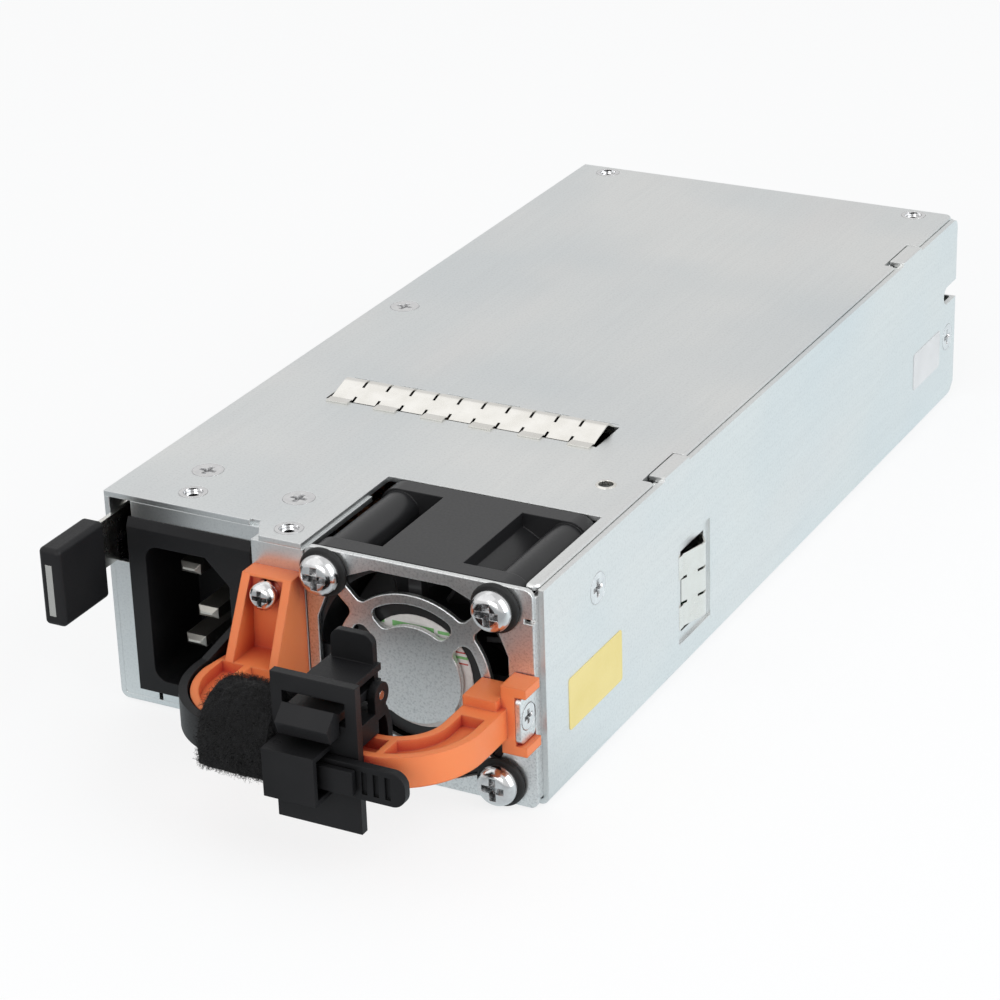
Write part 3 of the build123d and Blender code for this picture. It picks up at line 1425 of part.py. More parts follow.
def wound_ring(place, radius, bore, height):
    """A wound toroid that lies on the board: a rounded ring."""
    ring = tube((place[0], place[1], board_top), (0, 0, 1), radius, bore, height)
    return fillet(ring.edges().filter_by(GeomType.CIRCLE), (radius - bore) * winding_round_share)


def emi_choke():
    """The common-mode choke of the mains filter."""
    return wound_ring(choke_place, choke_radius, choke_bore, choke_height)


def pfc_choke():
    """The boost choke of the power-factor stage."""
    return wound_ring(pfc_place, pfc_radius, pfc_bore, pfc_height)


def standing_block(place, size, lift=0.0):
    """A box that stands on the board about a middle point."""
    width, length, height = size
    low = board_top + lift
    return Pos(place[0], place[1], low + height / 2) * Box(width, length, height)


def x_capacitor():
    """The film capacitor across the mains."""
    case = standing_block(x_cap_place, x_cap_size)
    return fillet(case.edges().filter_by(Axis.Z), sheet)


def fuse():
    """The mains fuse with its end caps, lying along the board."""
    x, y = fuse_place
    height = board_top + fuse_lift + fuse_radius
    start = y - fuse_length / 2
    glass = rod((x, start, height), (0, 1, 0), fuse_tube_radius, fuse_length)
    for low in (start, start + fuse_length - fuse_cap_length):
        glass += rod((x, low, height), (0, 1, 0), fuse_radius, fuse_cap_length)
        glass += block((x - sheet / 2, x + sheet / 2), (low + sheet, low + 2 * sheet), (board_top, height))
    return glass


def bridge_rectifier():
    """The bridge rectifier, standing on its leads' edge."""
    case = standing_block(bridge_place, bridge_size)
    bore = rod((bridge_place[0], 0, board_top + bridge_hole_z), (0, 1, 0), screw_radius, case_length)
    corner = case.edges().filter_by(Axis.Y).group_by(Axis.Z)[-1].sort_by(Axis.X)[0]
    return chamfer(corner, 2 * sheet) - bore


def bulk_capacitors():
    """Large electrolytic capacitors with a crimp groove near the foot of the can."""
    cans = []
    for number in range(bulk_count):
        y = bulk_front + bulk_radius + number * bulk_pitch
        can = rod((bulk_x, y, board_top), (0, 0, 1), bulk_radius, bulk_height)
        can = fillet(can.edges().filter_by(GeomType.CIRCLE), sheet)
        foot = (bulk_x, y, board_top + 2 * sheet)
        cans.append(can - tube(foot, (0, 0, 1), bulk_radius + sheet, bulk_radius - sheet / 2, sheet))
    return group(cans)


def heatsink(front, length):
    """An extruded heatsink: an upright web with fins towards the right wall."""
    sink = block((heatsink_x - heatsink_sheet, heatsink_x), (front, front + length),
                 (board_top, board_top + heatsink_height))
    step = (heatsink_height - heatsink_fin_sheet) / (heatsink_fin_count - 1)
    for number in range(heatsink_fin_count):
        low = board_top + number * step
        sink += block((heatsink_x, heatsink_x + heatsink_fin_reach), (front, front + length),
                      (low, low + heatsink_fin_sheet))
    return sink


def primary_heatsink():
    """The heatsink of the mains side."""
    return heatsink(primary_sink_front, primary_sink_length)


def secondary_heatsink():
    """The heatsink of the output side."""
    return heatsink(secondary_sink_front, secondary_sink_length)


def power_transistors():
    """Power transistors clamped to the mains heatsink, each with legs into the board."""
    thickness, width, height = transistor_size
    middle_x = heatsink_x - heatsink_sheet - transistor_gap - thickness / 2
    pieces = []
    for number in range(transistor_count):
        y = primary_sink_front + primary_sink_length * (number + 0.5) / transistor_count
        case = standing_block((middle_x, y), transistor_size, transistor_lift)
        for leg in (-1, 0, 1):
            case += standing_block((middle_x, y + leg * width / 3), (sheet, sheet, transistor_lift))
        hole = (0, y, board_top + transistor_lift + transistor_hole_z)
        pieces.append(case - rod(hole, (1, 0, 0), screw_radius, half_width))
    return group(pieces)


def main_transformer():
    """The ferrite core of the main transformer with its winding between the outer legs."""
    width, length, height = transformer_size
    core = standing_block(transformer_place, transformer_size)
    inner = (length - 2 * transformer_leg, height - 2 * transformer_leg)
    window = standing_block(transformer_place, (width + sheet, *inner), transformer_leg)
    winding = standing_block(transformer_place, (width - 2 * winding_margin, *inner), transformer_leg)
    return core - window + fillet(winding.edges().filter_by(Axis.Y), 2 * sheet)


def output_busbars():
    """Copper bars from the output stage to the card edge, standing on folded feet."""
    bars = []
    for x in busbar_places:
        across = (x - busbar_width / 2, x + busbar_width / 2)
        low = board_top + busbar_lift
        bar = block(across, (busbar_front, busbar_front + busbar_length), (low, low + busbar_sheet))
        for y in (busbar_front, busbar_front + busbar_length - busbar_sheet):
            bar += block(across, (y, y + busbar_sheet), (board_top, low))
        bars.append(bar)
    return group(bars)


def output_capacitors():
    """Small electrolytic capacitors on the output."""
    spots = [(out_cap_x + number * out_cap_pitch, out_cap_y, board_top) for number in range(out_cap_count)]
    return group([rod(spot, (0, 0, 1), out_cap_radius, out_cap_height) for spot in spots])


def control_card():
    """The upright control card with its chips."""
    along = (control_front, control_front + control_length)
    card = block((control_x, control_x + control_sheet), along, (board_top, board_top + control_height))
    low = board_top + (control_height - chip_size) / 2
    face = control_x + control_sheet
    for share in chip_shares:
        front = control_front + control_length * share - chip_size / 2
        card += block((face, face + sheet), (front, front + chip_size), (low, low + chip_size))
    return card


def fan_lead():
    """The fan's cable from its frame down to the board."""
    x = fan_lead_x
    landing = board_front + 2 * lead_bend
    points = [(x, fan_rear, fan_lead_z), (x, landing, fan_lead_z), (x, landing, board_top)]
    return bent_tube(points, fan_lead_radius, bend_share * (fan_lead_z - board_top))


pieces = (chassis, top_cover, inlet_panel, fan_plate, rear_panel, top_ground_spring, side_ground_spring,
          cover_screws, panel_rivets, handle, handle_front_screw, handle_lock_washer, handle_side_screw,
          inlet_housing, inlet_pins, inlet_leads, fan_frame, fan_label, fan_bearing, fan_stator,
          fan_screws, fan_grommets, fan_lead, fan_rotor, fan_shaft, fan_magnet, main_board,
          edge_contacts, board_standoffs, board_screws, insulation_sheet, emi_choke, x_capacitor, fuse,
          bridge_rectifier, pfc_choke, bulk_capacitors, primary_heatsink, power_transistors,
          main_transformer, secondary_heatsink, output_busbars, output_capacitors, control_card,
          retainer_body, retainer_pin, retainer_lever, retainer_pawl, retention_strap, hook_loop_wrap,
          latch_leaf, latch_grip, latch_rivets)

os.makedirs("parts", exist_ok=True)
for piece in pieces:
    solids = (Pos(0, -origin_y, 0) * piece()).solids()
    export_step(Compound(children=list(solids)), f"parts/{piece.__name__}.step")
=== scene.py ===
import json
import math
import random

import bmesh
import bpy
from mathutils import Matrix, Vector, noise


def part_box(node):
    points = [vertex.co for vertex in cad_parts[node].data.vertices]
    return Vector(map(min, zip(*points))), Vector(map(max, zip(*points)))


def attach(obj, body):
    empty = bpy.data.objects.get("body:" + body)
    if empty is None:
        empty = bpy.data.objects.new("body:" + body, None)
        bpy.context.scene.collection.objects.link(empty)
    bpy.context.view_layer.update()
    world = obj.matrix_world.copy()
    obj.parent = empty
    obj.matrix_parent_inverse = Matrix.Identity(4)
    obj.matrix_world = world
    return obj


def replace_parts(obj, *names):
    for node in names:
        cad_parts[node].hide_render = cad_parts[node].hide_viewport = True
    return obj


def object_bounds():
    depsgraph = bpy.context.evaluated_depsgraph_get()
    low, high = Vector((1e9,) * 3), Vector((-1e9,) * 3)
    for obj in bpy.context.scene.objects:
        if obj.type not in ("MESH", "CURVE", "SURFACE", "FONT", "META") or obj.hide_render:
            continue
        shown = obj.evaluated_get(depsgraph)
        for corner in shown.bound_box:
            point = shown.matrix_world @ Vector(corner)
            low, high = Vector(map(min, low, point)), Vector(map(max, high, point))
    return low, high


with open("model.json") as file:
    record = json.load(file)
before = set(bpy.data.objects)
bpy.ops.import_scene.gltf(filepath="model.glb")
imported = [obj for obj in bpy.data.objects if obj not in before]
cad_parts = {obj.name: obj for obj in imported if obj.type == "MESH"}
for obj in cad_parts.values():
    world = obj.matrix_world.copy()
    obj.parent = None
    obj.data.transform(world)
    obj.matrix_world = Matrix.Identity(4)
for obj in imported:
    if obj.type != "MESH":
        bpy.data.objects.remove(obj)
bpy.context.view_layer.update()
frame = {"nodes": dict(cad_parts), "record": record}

# Looks of a hot swap server power supply. Metres, in the part's own frame.
MM = 0.001
WHITE = (1.0, 1.0, 1.0)

# Turns for a flat piece drawn in X and Y, so that its front looks along -Y or along +X
FACING_FRONT = Matrix(((1, 0, 0), (0, 0, -1), (0, 1, 0))).to_4x4()
FACING_RIGHT = Matrix(((0, 0, 1), (1, 0, 0), (0, 1, 0))).to_4x4()

# Camera, fitted to the photograph's 1000 x 1000 frame, with its angles in radians
CAMERA_PLACE = (0.250463, -0.491332, 0.262610)
CAMERA_AZIMUTH = 0.49662507
CAMERA_ELEVATION = 0.43336902
CAMERA_ROLL = -0.03310284
CAMERA_LENS = 112.93
CAMERA_NEAR = 0.01
SENSOR_WIDTH = 36.0

# Studio: the camera sees white, and mirrors see a dimmer room and a floor that is darker in front than beside
WORLD_LIGHT = 0.67
WORLD_MIRROR = 0.76
FLOOR_TONE = (0.86, 0.87, 0.88)
FLOOR_WHITE = 0.78
FLOOR_MIRROR_FRONT = (0.27, 0.29, 0.30)
FLOOR_MIRROR_SIDE = (0.87, 0.965, 1.0)
FLOOR_MIRROR_BAND = (-0.150, -0.065)
FLOOR_SIZE = 6.0
FLOOR_GAP = 0.02 * MM

# Soft lamps that point at the case: name, place, width and height, watts and tint
LAMP_TARGET = (0.0, 0.0, 0.02)
LAMPS = (
    ("key", (-0.5, -0.5, 0.9), (1.6, 1.6), 2.6, WHITE),
    ("side", (0.9, -0.1, 0.5), (0.8, 1.1), 6.0, (0.93, 0.97, 1.0)),
    ("front", (0.05, -0.9, 0.35), (0.5, 0.3), 1.9, WHITE),
    ("back", (-0.43, 0.36, 0.84), (0.45, 0.45), 0.22, WHITE),
)

# Sockets of the shader node that mixes colours
MIX_SHARE = 0
MIX_FIRST = 6
MIX_SECOND = 7
MIX_RESULT = 2

# Samples of the edge rounding and of the shade painted into recesses, and the open share at which that
# painted shade is darkest and lightest
EDGE_SAMPLES = 4
PAINTED_SHADE_SAMPLES = 6
PAINTED_SHADE_RANGE = (0.15, 0.65)

# Zinc-plated steel: tones, noise scales in cycles per metre, grain stretch and the strength of the spangle
ZINC_COOL = (0.72, 0.755, 0.765)
ZINC_PALE = (0.79, 0.80, 0.79)
ZINC_WARM = (0.81, 0.785, 0.77)
ZINC_LINE = (0.56, 0.58, 0.59)
ZINC_SPARK = (0.92, 0.93, 0.93)
ZINC_PIT = (0.42, 0.43, 0.44)
CLOUD_SCALE = 22.0
WARM_SCALE = 41.0
WARM_STRETCH = (1.0, 0.35, 1.0)
ROLLING_SCALE = 900.0
ROLLING_STRETCH = (1.0, 0.03, 1.0)
SPANGLE_SCALE = 2400.0
CASE_SPECKLE = 0.20
PLATE_SPECKLE = 0.55

# Bright metals: dark and light tone, roughness, grain scale and stretch, edge rounding and grain strength
EVEN = (1.0, 1.0, 1.0)
ALONG_Y = (1.0, 0.05, 1.0)
STACKED_Y = (0.05, 1.0, 0.05)
BLOTCH_SCALE = 0.06
METALS = {
    "spring_steel": ((0.74, 0.72, 0.67), (0.86, 0.845, 0.81), (0.20, 0.30), 300, EVEN, 0.08 * MM, 0.03),
    "screw_steel": ((0.62, 0.62, 0.63), (0.86, 0.86, 0.86), (0.12, 0.22), 700, EVEN, 0.12 * MM, 0.05),
    "contact_metal": ((0.60, 0.58, 0.53), (0.70, 0.68, 0.63), (0.34, 0.44), 500, EVEN, 0.1 * MM, 0.03),
    "gold_contact": ((0.66, 0.42, 0.12), (0.90, 0.66, 0.27), (0.16, 0.28), 1400, ALONG_Y, 0.02 * MM, 0.05),
    "bearing_bronze": ((0.42, 0.26, 0.10), (0.62, 0.42, 0.20), (0.25, 0.4), 900, EVEN, 0.1 * MM, 0.1),
    "core_steel": ((0.12, 0.12, 0.12), (0.34, 0.34, 0.35), (0.35, 0.5), 1600, STACKED_Y, 0.1 * MM, 0.3),
    "copper_bar": ((0.55, 0.24, 0.12), (0.80, 0.42, 0.25), (0.22, 0.36), 1100, ALONG_Y, 0.2 * MM, 0.08),
    "sink_aluminium": ((0.58, 0.59, 0.60), (0.80, 0.81, 0.82), (0.28, 0.42), 1000, ALONG_Y, 0.15 * MM, 0.1),
}

# Shade painted into a metal's recesses: its share of the metal's dark tone, how far it reaches, and how far
# on the inlet's blades
METAL_PAINTED_SHADE = 0.4
METAL_SHADE_REACH = 0.9 * MM
METAL_SHADE_REACHES = {"contact_metal": 12.0 * MM}

# Moulded plastics, rubber and ceramics: dark and light tone, roughness, grain scale, edge rounding, grain
# strength and specular level
DRIFT_SCALE = 60.0
SCUFF_SCALE = 420.0
MOULDED = {
    "orange_plastic": ((0.72, 0.188, 0.061), (0.76, 0.214, 0.071), (0.42, 0.52), 2600, 0.45 * MM, 0.10, 0.42),
    "black_plastic": ((0.007, 0.007, 0.008), (0.014, 0.014, 0.015), (0.36, 0.5), 3000, 0.25 * MM, 0.12, 0.22),
    "fan_plastic": ((0.011, 0.011, 0.012), (0.018, 0.018, 0.019), (0.28, 0.40), 2000, 0.25 * MM, 0.06, 0.45),
    "black_rubber": ((0.006, 0.006, 0.006), (0.014, 0.014, 0.014), (0.45, 0.62), 1800, 0.2 * MM, 0.1, 0.35),
    "wire_sleeve": ((0.03, 0.03, 0.032), (0.06, 0.06, 0.062), (0.35, 0.5), 900, 0.05 * MM, 0.12, 0.45),
    "insulating_film": ((0.70, 0.66, 0.52), (0.80, 0.77, 0.66), (0.25, 0.4), 500, 0.05 * MM, 0.12, 0.45),
    "ferrite": ((0.025, 0.025, 0.027), (0.07, 0.07, 0.072), (0.5, 0.7), 1500, 0.3 * MM, 0.3, 0.45),
    "film_capacitor": ((0.52, 0.40, 0.05), (0.66, 0.52, 0.09), (0.2, 0.3), 500, 0.3 * MM, 0.05, 0.45),
    "capacitor_sleeve": ((0.012, 0.014, 0.035), (0.025, 0.03, 0.06), (0.18, 0.3), 400, 0.2 * MM, 0.04, 0.45),
    "fuse_ceramic": ((0.70, 0.69, 0.63), (0.80, 0.79, 0.74), (0.2, 0.35), 600, 0.1 * MM, 0.05, 0.45),
    "chip_plastic": ((0.012, 0.012, 0.012), (0.03, 0.03, 0.03), (0.5, 0.65), 1400, 0.15 * MM, 0.15, 0.45),
}

# The tone of the shade painted into a moulded piece's recesses, how far it reaches, and how much light goes
# through its skin
PAINTED_RECESS_SHADES = {
    "orange_plastic": ((0.40, 0.018, 0.020), 6.0 * MM),
    "black_plastic": ((0.003, 0.003, 0.003), 20.0 * MM),
}
GLOWS = {"orange_plastic": 0.15}
GLOW_DEPTH = 0.6 * MM

# Other finishes: dark and light tones, and scales in cycles per metre
WIRE_TONES = ((0.20, 0.06, 0.02), (0.66, 0.28, 0.11))
WIRE_SCALE = 260.0
BOARD_TONES = ((0.012, 0.10, 0.035), (0.03, 0.20, 0.07))
BOARD_MOTTLE = (0.02, 0.07, 0.03)
BOARD_SCALE = 140.0
PILE_TONES = ((0.002, 0.002, 0.002), (0.012, 0.012, 0.013))
PILE_SHEEN = 0.10
FAN_PAPER_TONES = ((0.66, 0.64, 0.62), (0.73, 0.71, 0.69))

# Hook-and-loop wrap: a roll along the bar's front and round the start of its left corner
WRAP_CORNER = (1.85 * MM, -110.5 * MM)
WRAP_MIDDLE_Y = -122.25 * MM
WRAP_MIDDLE_Z = 18.15 * MM
WRAP_HALF_WIDTH = 7.3 * MM
WRAP_CROWN = 9.4 * MM
WRAP_DROP = 3.9 * MM
WRAP_TURN = math.radians(13.5)
WRAP_BORE_FRONT = 6.1 * MM
WRAP_BORE_BACK = 4.6 * MM
WRAP_BORE_HALF_HEIGHT = 3.15 * MM
WRAP_SEED = 7
WRAP_RINGS = 40
WRAP_AROUND = 96
WRAP_NAP = 0.35 * MM
WRAP_LUMPS = (420, 1500)
WRAP_FIBRES = 12000

# Fibres of the wrap: the root's depth in naps, then the bends with height in lengths, share of the curl and
# share of the thickness, and the ranges that curl and tip height are drawn from
FIBRE_LENGTH = (0.8 * MM, 1.9 * MM)
FIBRE_RADIUS = 0.026 * MM
FIBRE_SIDES = 3
FIBRE_ROOT = 0.3
FIBRE_BENDS = ((0.35, 0.0, 0.95), (0.5, 0.6, 0.85))
FIBRE_CURL = (0.3, 0.6)
FIBRE_TIP = (0.1, 0.5)
FIBRE_TIP_THICKNESS = 0.5
SMALLEST_LEAN = 1e-6

# Fan plate: sheet, edge rounding, and the lower and upper edges of the notch, the flange and the tab
SHEET = 1.0 * MM
PUNCH_EDGE = 0.12 * MM
PUNCH_EDGE_STEPS = 2
WELD_DISTANCE = PUNCH_EDGE / 100
PLATE_CORNER = 1.5 * MM
PLATE_NOTCH = (34.0 * MM, 34.8 * MM)
PLATE_NOTCH_DEPTH = 1.6 * MM
PLATE_FLANGE = (1.6 * MM, 38.4 * MM)
PLATE_FLANGE_CORNER = 3 * PUNCH_EDGE
SIDE_TAB = (14.5 * MM, 23.0 * MM)
SIDE_TAB_LENGTH = 5.2 * MM
SIDE_TAB_CORNER = 1.2 * MM
SIDE_TAB_HOLE = (-2.4 * MM, 18.7 * MM)
SIDE_TAB_HOLE_RADIUS = 2.36 * MM

# Fan grille: its straight edges, circles, spokes and corner radii about the fan's axis, and the screw holes
GRILLE_HALF = 17.8 * MM
GRILLE_FLAT = 7.2 * MM
GRILLE_SLOPE = math.radians(22.5)
GRILLE_RING = 14.7 * MM
GRILLE_SLOT = (8.9 * MM, 12.9 * MM)
GRILLE_SPOKE = 2.5 * MM
GRILLE_ROUND = 1.3 * MM
GRILLE_SLOT_ROUND = 1.5 * MM
FAN_HOLE_REACH = 16.0 * MM
FAN_HOLE_RADIUS = 2.76 * MM

# The angle at which a corner's arc meets a spoke's flank
FLANK = 0.75 * math.pi

# Points along a corner's arc, round a hole and round a turned piece
ARC_STEPS = 10
HOLE_POINTS = 21
TURNED_POINTS = 40

# Fan label: radii, and plain printed bars as middle x, middle z, half width and half height in mm, and ink
FAN_LABEL_RADIUS = 10.3 * MM
FAN_LABEL_HOLE = FAN_LABEL_RADIUS / 50
GREEN_INK = (0.20, 0.46, 0.17)
RED_INK = (0.50, 0.09, 0.08)
FAN_LABEL_BARS = (
    (-0.6, 8.1, 3.9, 0.5, GREEN_INK),
    (-7.0, 8.1, 1.0, 0.3, GREEN_INK),
    (5.1, 8.1, 1.1, 0.3, GREEN_INK),
    (6.5, 4.3, 3.0, 0.25, GREEN_INK),
    (6.5, 5.2, 3.0, 0.14, RED_INK),
    (6.5, 3.2, 3.0, 0.14, RED_INK),
    (0.0, -6.5, 5.0, 0.3, GREEN_INK),
)

# Rim of the tapped hole in the cover: its place, and its profile as radii and heights in mm
TAPPED_PLACE = (34.9 * MM, -55.5 * MM)
TAPPED_RIM = ((1.28, -0.6), (1.3, 0.12), (1.42, 0.22), (1.62, 0.18), (1.85, 0.0), (1.8, -0.3))

# Blank labels on the right wall: name, middle along Y and in height, length and height, dark and light tone
LABEL_THICKNESS = 0.12 * MM
LABEL_RIM = 0.6
LABEL_CORNER = 0.6 * MM
LABEL_CORNER_STEPS = 6
WALL_LABELS = (
    ("yellow", (-77.0 * MM, 14.7 * MM), (20.0 * MM, 9.6 * MM), (0.67, 0.555, 0.20), (0.72, 0.605, 0.25)),
    ("white", (78.5 * MM, 13.6 * MM), (15.0 * MM, 8.0 * MM), (0.60, 0.605, 0.61), (0.66, 0.665, 0.67)),
)


def add_node(tree, kind, options=None, **inputs):
    """A shader node with its options set and its inputs set or linked by name."""
    node = tree.nodes.new("ShaderNode" + kind)
    for key, value in (options or {}).items():
        setattr(node, key, value)
    for key, value in inputs.items():
        set_or_link(tree, node.inputs[key.replace("_", " ")], value)
    return node


def set_or_link(tree, socket, value):
    """Links a socket to another one, or sets its value."""
    if isinstance(value, bpy.types.NodeSocket):
        tree.links.new(value, socket)
    else:
        socket.default_value = value


def colour(tone):
    """A tone of red, green and blue as a colour with full cover. A link stays as it is."""
    return tone if isinstance(tone, bpy.types.NodeSocket) else (*tone, 1.0)


def new_material(name, metallic, specular):
    """A material with its tree, its principled shader and object coordinates."""
    material = bpy.data.materials.new(name)
    material.use_nodes = True
    tree = material.node_tree
    shader = tree.nodes["Principled BSDF"]
    shader.inputs["Metallic"].default_value = metallic
    shader.inputs["Specular IOR Level"].default_value = specular
    place = add_node(tree, "TexCoord").outputs["Object"]
    return material, tree, shader, place


def stretched(tree, place, scale):
    """Object coordinates stretched along an axis, for grain that runs one way."""
    return add_node(tree, "Mapping", Vector=place, Scale=scale).outputs["Vector"]


def grain(tree, place, scale, detail=3.0, rough=0.55):
    """Noise about the middle grey at a scale in cycles per metre."""
    settings = {"Scale": scale, "Detail": detail, "Roughness": rough}
    return add_node(tree, "TexNoise", Vector=place, **settings).outputs["Fac"]


def spread(tree, value, low, high, start=0.3, end=0.7):
    """A value moved from the range start to end, to the range low to high."""
    ranges = {"From_Min": start, "From_Max": end, "To_Min": low, "To_Max": high}
    return add_node(tree, "MapRange", Value=value, **ranges).outputs["Result"]


def mixed(tree, share, first, second):
    """Two colours, each a tone or a link, mixed by a share."""
    node = add_node(tree, "Mix", {"data_type": "RGBA"})
    for number, value in ((MIX_SHARE, share), (MIX_FIRST, colour(first)), (MIX_SECOND, colour(second))):
        set_or_link(tree, node.inputs[number], value)
    return node.outputs[MIX_RESULT]


def painted_recess_shade(tree, base, dark, reach):
    """A base colour that goes over to a dark one in recesses and corners: painted shade, from ambient
    occlusion.
    """
    open_share = add_node(tree, "AmbientOcclusion", {"samples": PAINTED_SHADE_SAMPLES}, Distance=reach).outputs["AO"]
    return mixed(tree, spread(tree, open_share, 0.0, 1.0, *PAINTED_SHADE_RANGE), dark, base)


def surface(tree, shader, base, roughness, height, strength, depth, edge):
    """Links colour and roughness to the shader, and puts bump and a small edge rounding on its normal."""
    tree.links.new(base, shader.inputs["Base Color"])
    tree.links.new(roughness, shader.inputs["Roughness"])
    soft = add_node(tree, "Bevel", {"samples": EDGE_SAMPLES}, Radius=edge).outputs["Normal"]
    bump = add_node(tree, "Bump", Height=height, Strength=strength, Distance=depth, Normal=soft)
    tree.links.new(bump.outputs["Normal"], shader.inputs["Normal"])


def case_steel(name, speckle):
    """Zinc-plated sheet: faint blue and warm clouds, rolling lines and a fine spangle."""
    material, tree, shader, place = new_material(name, 1.0, 0.5)
    clouds = spread(tree, grain(tree, place, CLOUD_SCALE, 2.0), 0.0, 1.0, 0.35, 0.65)
    warm = grain(tree, stretched(tree, place, WARM_STRETCH), WARM_SCALE, 2.0)
    lines = grain(tree, stretched(tree, place, ROLLING_STRETCH), ROLLING_SCALE, 2.0)
    spangle = grain(tree, place, SPANGLE_SCALE, 2.0, 0.7)
    base = mixed(tree, clouds, ZINC_COOL, ZINC_PALE)
    base = mixed(tree, spread(tree, warm, 0.0, 0.5, 0.5, 0.75), base, ZINC_WARM)
    base = mixed(tree, spread(tree, lines, 0.0, 0.12), base, ZINC_LINE)
    base = mixed(tree, spread(tree, spangle, 0.0, speckle), base, ZINC_SPARK)
    base = mixed(tree, spread(tree, spangle, speckle, 0.0, 0.25, 0.5), base, ZINC_PIT)
    roughness = spread(tree, clouds, 0.30, 0.40, 0.0, 1.0)
    surface(tree, shader, base, roughness, spangle, 0.5 * speckle, 0.02 * MM, 0.25 * MM)
    return material


def grained_metal(name, dark, light, roughness, scale, stretch, edge, strength):
    """Bright metal with a directional grain, used for springs, screws, copper and cores."""
    material, tree, shader, place = new_material(name, 1.0, 0.5)
    streak = grain(tree, stretched(tree, place, stretch), scale)
    blotch = grain(tree, place, BLOTCH_SCALE * scale, 2.0)
    base = mixed(tree, spread(tree, streak, 0.0, 0.6), light, dark)
    base = mixed(tree, spread(tree, blotch, 0.0, 0.35), base, dark)
    # Painted shade: the metal goes darker in its recesses and corners
    reach = METAL_SHADE_REACHES.get(name, METAL_SHADE_REACH)
    base = painted_recess_shade(tree, base, [METAL_PAINTED_SHADE * part for part in dark], reach)
    surface(tree, shader, base, spread(tree, streak, *roughness), streak, strength, 0.01 * MM, edge)
    return material


def moulded(name, dark, light, roughness, scale, edge, strength, specular):
    """Moulded plastic, rubber or ceramic: a fine spark-eroded texture, slight colour drift and soft edges."""
    material, tree, shader, place = new_material(name, 0.0, specular)
    pebble = grain(tree, place, scale, 3.0, 0.6)
    drift = grain(tree, place, DRIFT_SCALE, 2.0)
    scuff = grain(tree, place, SCUFF_SCALE, 4.0, 0.7)
    base = mixed(tree, spread(tree, drift, 0.0, 1.0), dark, light)
    base = mixed(tree, spread(tree, scuff, 0.0, 0.5, 0.56, 0.75), base, light)
    # Painted shade in the recesses of the orange and black plastics
    if name in PAINTED_RECESS_SHADES:
        base = painted_recess_shade(tree, base, *PAINTED_RECESS_SHADES[name])
    if name in GLOWS:
        shader.inputs["Subsurface Weight"].default_value = GLOWS[name]
        shader.inputs["Subsurface Scale"].default_value = GLOW_DEPTH
    surface(tree, shader, base, spread(tree, pebble, *roughness), pebble, strength, 0.02 * MM, edge)
    return material


def wound_wire():
    """Enamelled copper turns that run across the ring."""
    material, tree, shader, place = new_material("copper_winding", 0.85, 0.5)
    across = {"bands_direction": "Z"}
    turns = add_node(tree, "TexWave", across, Vector=place, Scale=WIRE_SCALE, Distortion=2.0).outputs["Fac"]
    base = mixed(tree, turns, *WIRE_TONES)
    surface(tree, shader, base, spread(tree, turns, 0.30, 0.45, 0.0, 1.0), turns, 0.6, 0.2 * MM, 0.2 * MM)
    return material


def printed_board():
    """Green solder mask over faint copper traces."""
    material, tree, shader, place = new_material("board_laminate", 0.0, 0.5)
    traces = add_node(tree, "TexBrick", Vector=place, Scale=BOARD_SCALE, Mortar_Size=0.03).outputs["Fac"]
    mottle = grain(tree, place, 300.0)
    base = mixed(tree, traces, *BOARD_TONES)
    base = mixed(tree, spread(tree, mottle, 0.0, 0.3), base, BOARD_MOTTLE)
    surface(tree, shader, base, spread(tree, mottle, 0.25, 0.4), traces, 0.2, 0.03 * MM, 0.1 * MM)
    return material


def fan_label_paper():
    """White label paper with plain green and red bars, placed from the label's middle."""
    material, tree, shader, place = new_material("label_paper", 0.0, 0.4)
    axes = add_node(tree, "SeparateXYZ", Vector=place).outputs
    middle = middle_of("fan_label")
    fibre = grain(tree, place, 1500.0)
    base = mixed(tree, spread(tree, fibre, 0.0, 1.0), *FAN_PAPER_TONES)
    for x, z, half_width, half_height, ink in FAN_LABEL_BARS:
        inside = add_node(tree, "Math", {"operation": "MULTIPLY"})
        spans = ((axes["X"], middle.x + x * MM, half_width), (axes["Z"], middle.z + z * MM, half_height))
        for number, (axis, centre, half) in enumerate(spans):
            span = add_node(tree, "Math", {"operation": "COMPARE"})
            tree.links.new(axis, span.inputs[0])
            span.inputs[1].default_value = centre
            span.inputs[2].default_value = half * MM
            tree.links.new(span.outputs["Value"], inside.inputs[number])
        base = mixed(tree, inside.outputs["Value"], base, ink)
    surface(tree, shader, base, spread(tree, fibre, 0.35, 0.5), fibre, 0.05, 0.01 * MM, 0.05 * MM)
    return material


def paper(name, dark, light):
    """Plain label paper with a slight fibre."""
    material, tree, shader, place = new_material(name, 0.0, 0.4)
    fibre = grain(tree, place, 1600.0, 4.0)
    fade = grain(tree, place, 90.0, 2.0)
    base = mixed(tree, spread(tree, fade, 0.0, 1.0), dark, light)
    surface(tree, shader, base, spread(tree, fibre, 0.40, 0.55), fibre, 0.06, 0.01 * MM, 0.05 * MM)
    return material


def loop_fabric():
    """Black napped pile: matte, with a dusty sheen."""
    material, tree, shader, place = new_material("loop_fabric", 0.0, 0.25)
    tuft = grain(tree, place, 900.0, 4.0, 0.7)
    base = mixed(tree, spread(tree, tuft, 0.0, 1.0), *PILE_TONES)
    shader.inputs["Sheen Weight"].default_value = PILE_SHEEN
    shader.inputs["Sheen Roughness"].default_value = 0.5
    surface(tree, shader, base, spread(tree, tuft, 0.75, 0.95), tuft, 0.5, 0.1 * MM, 0.05 * MM)
    return material


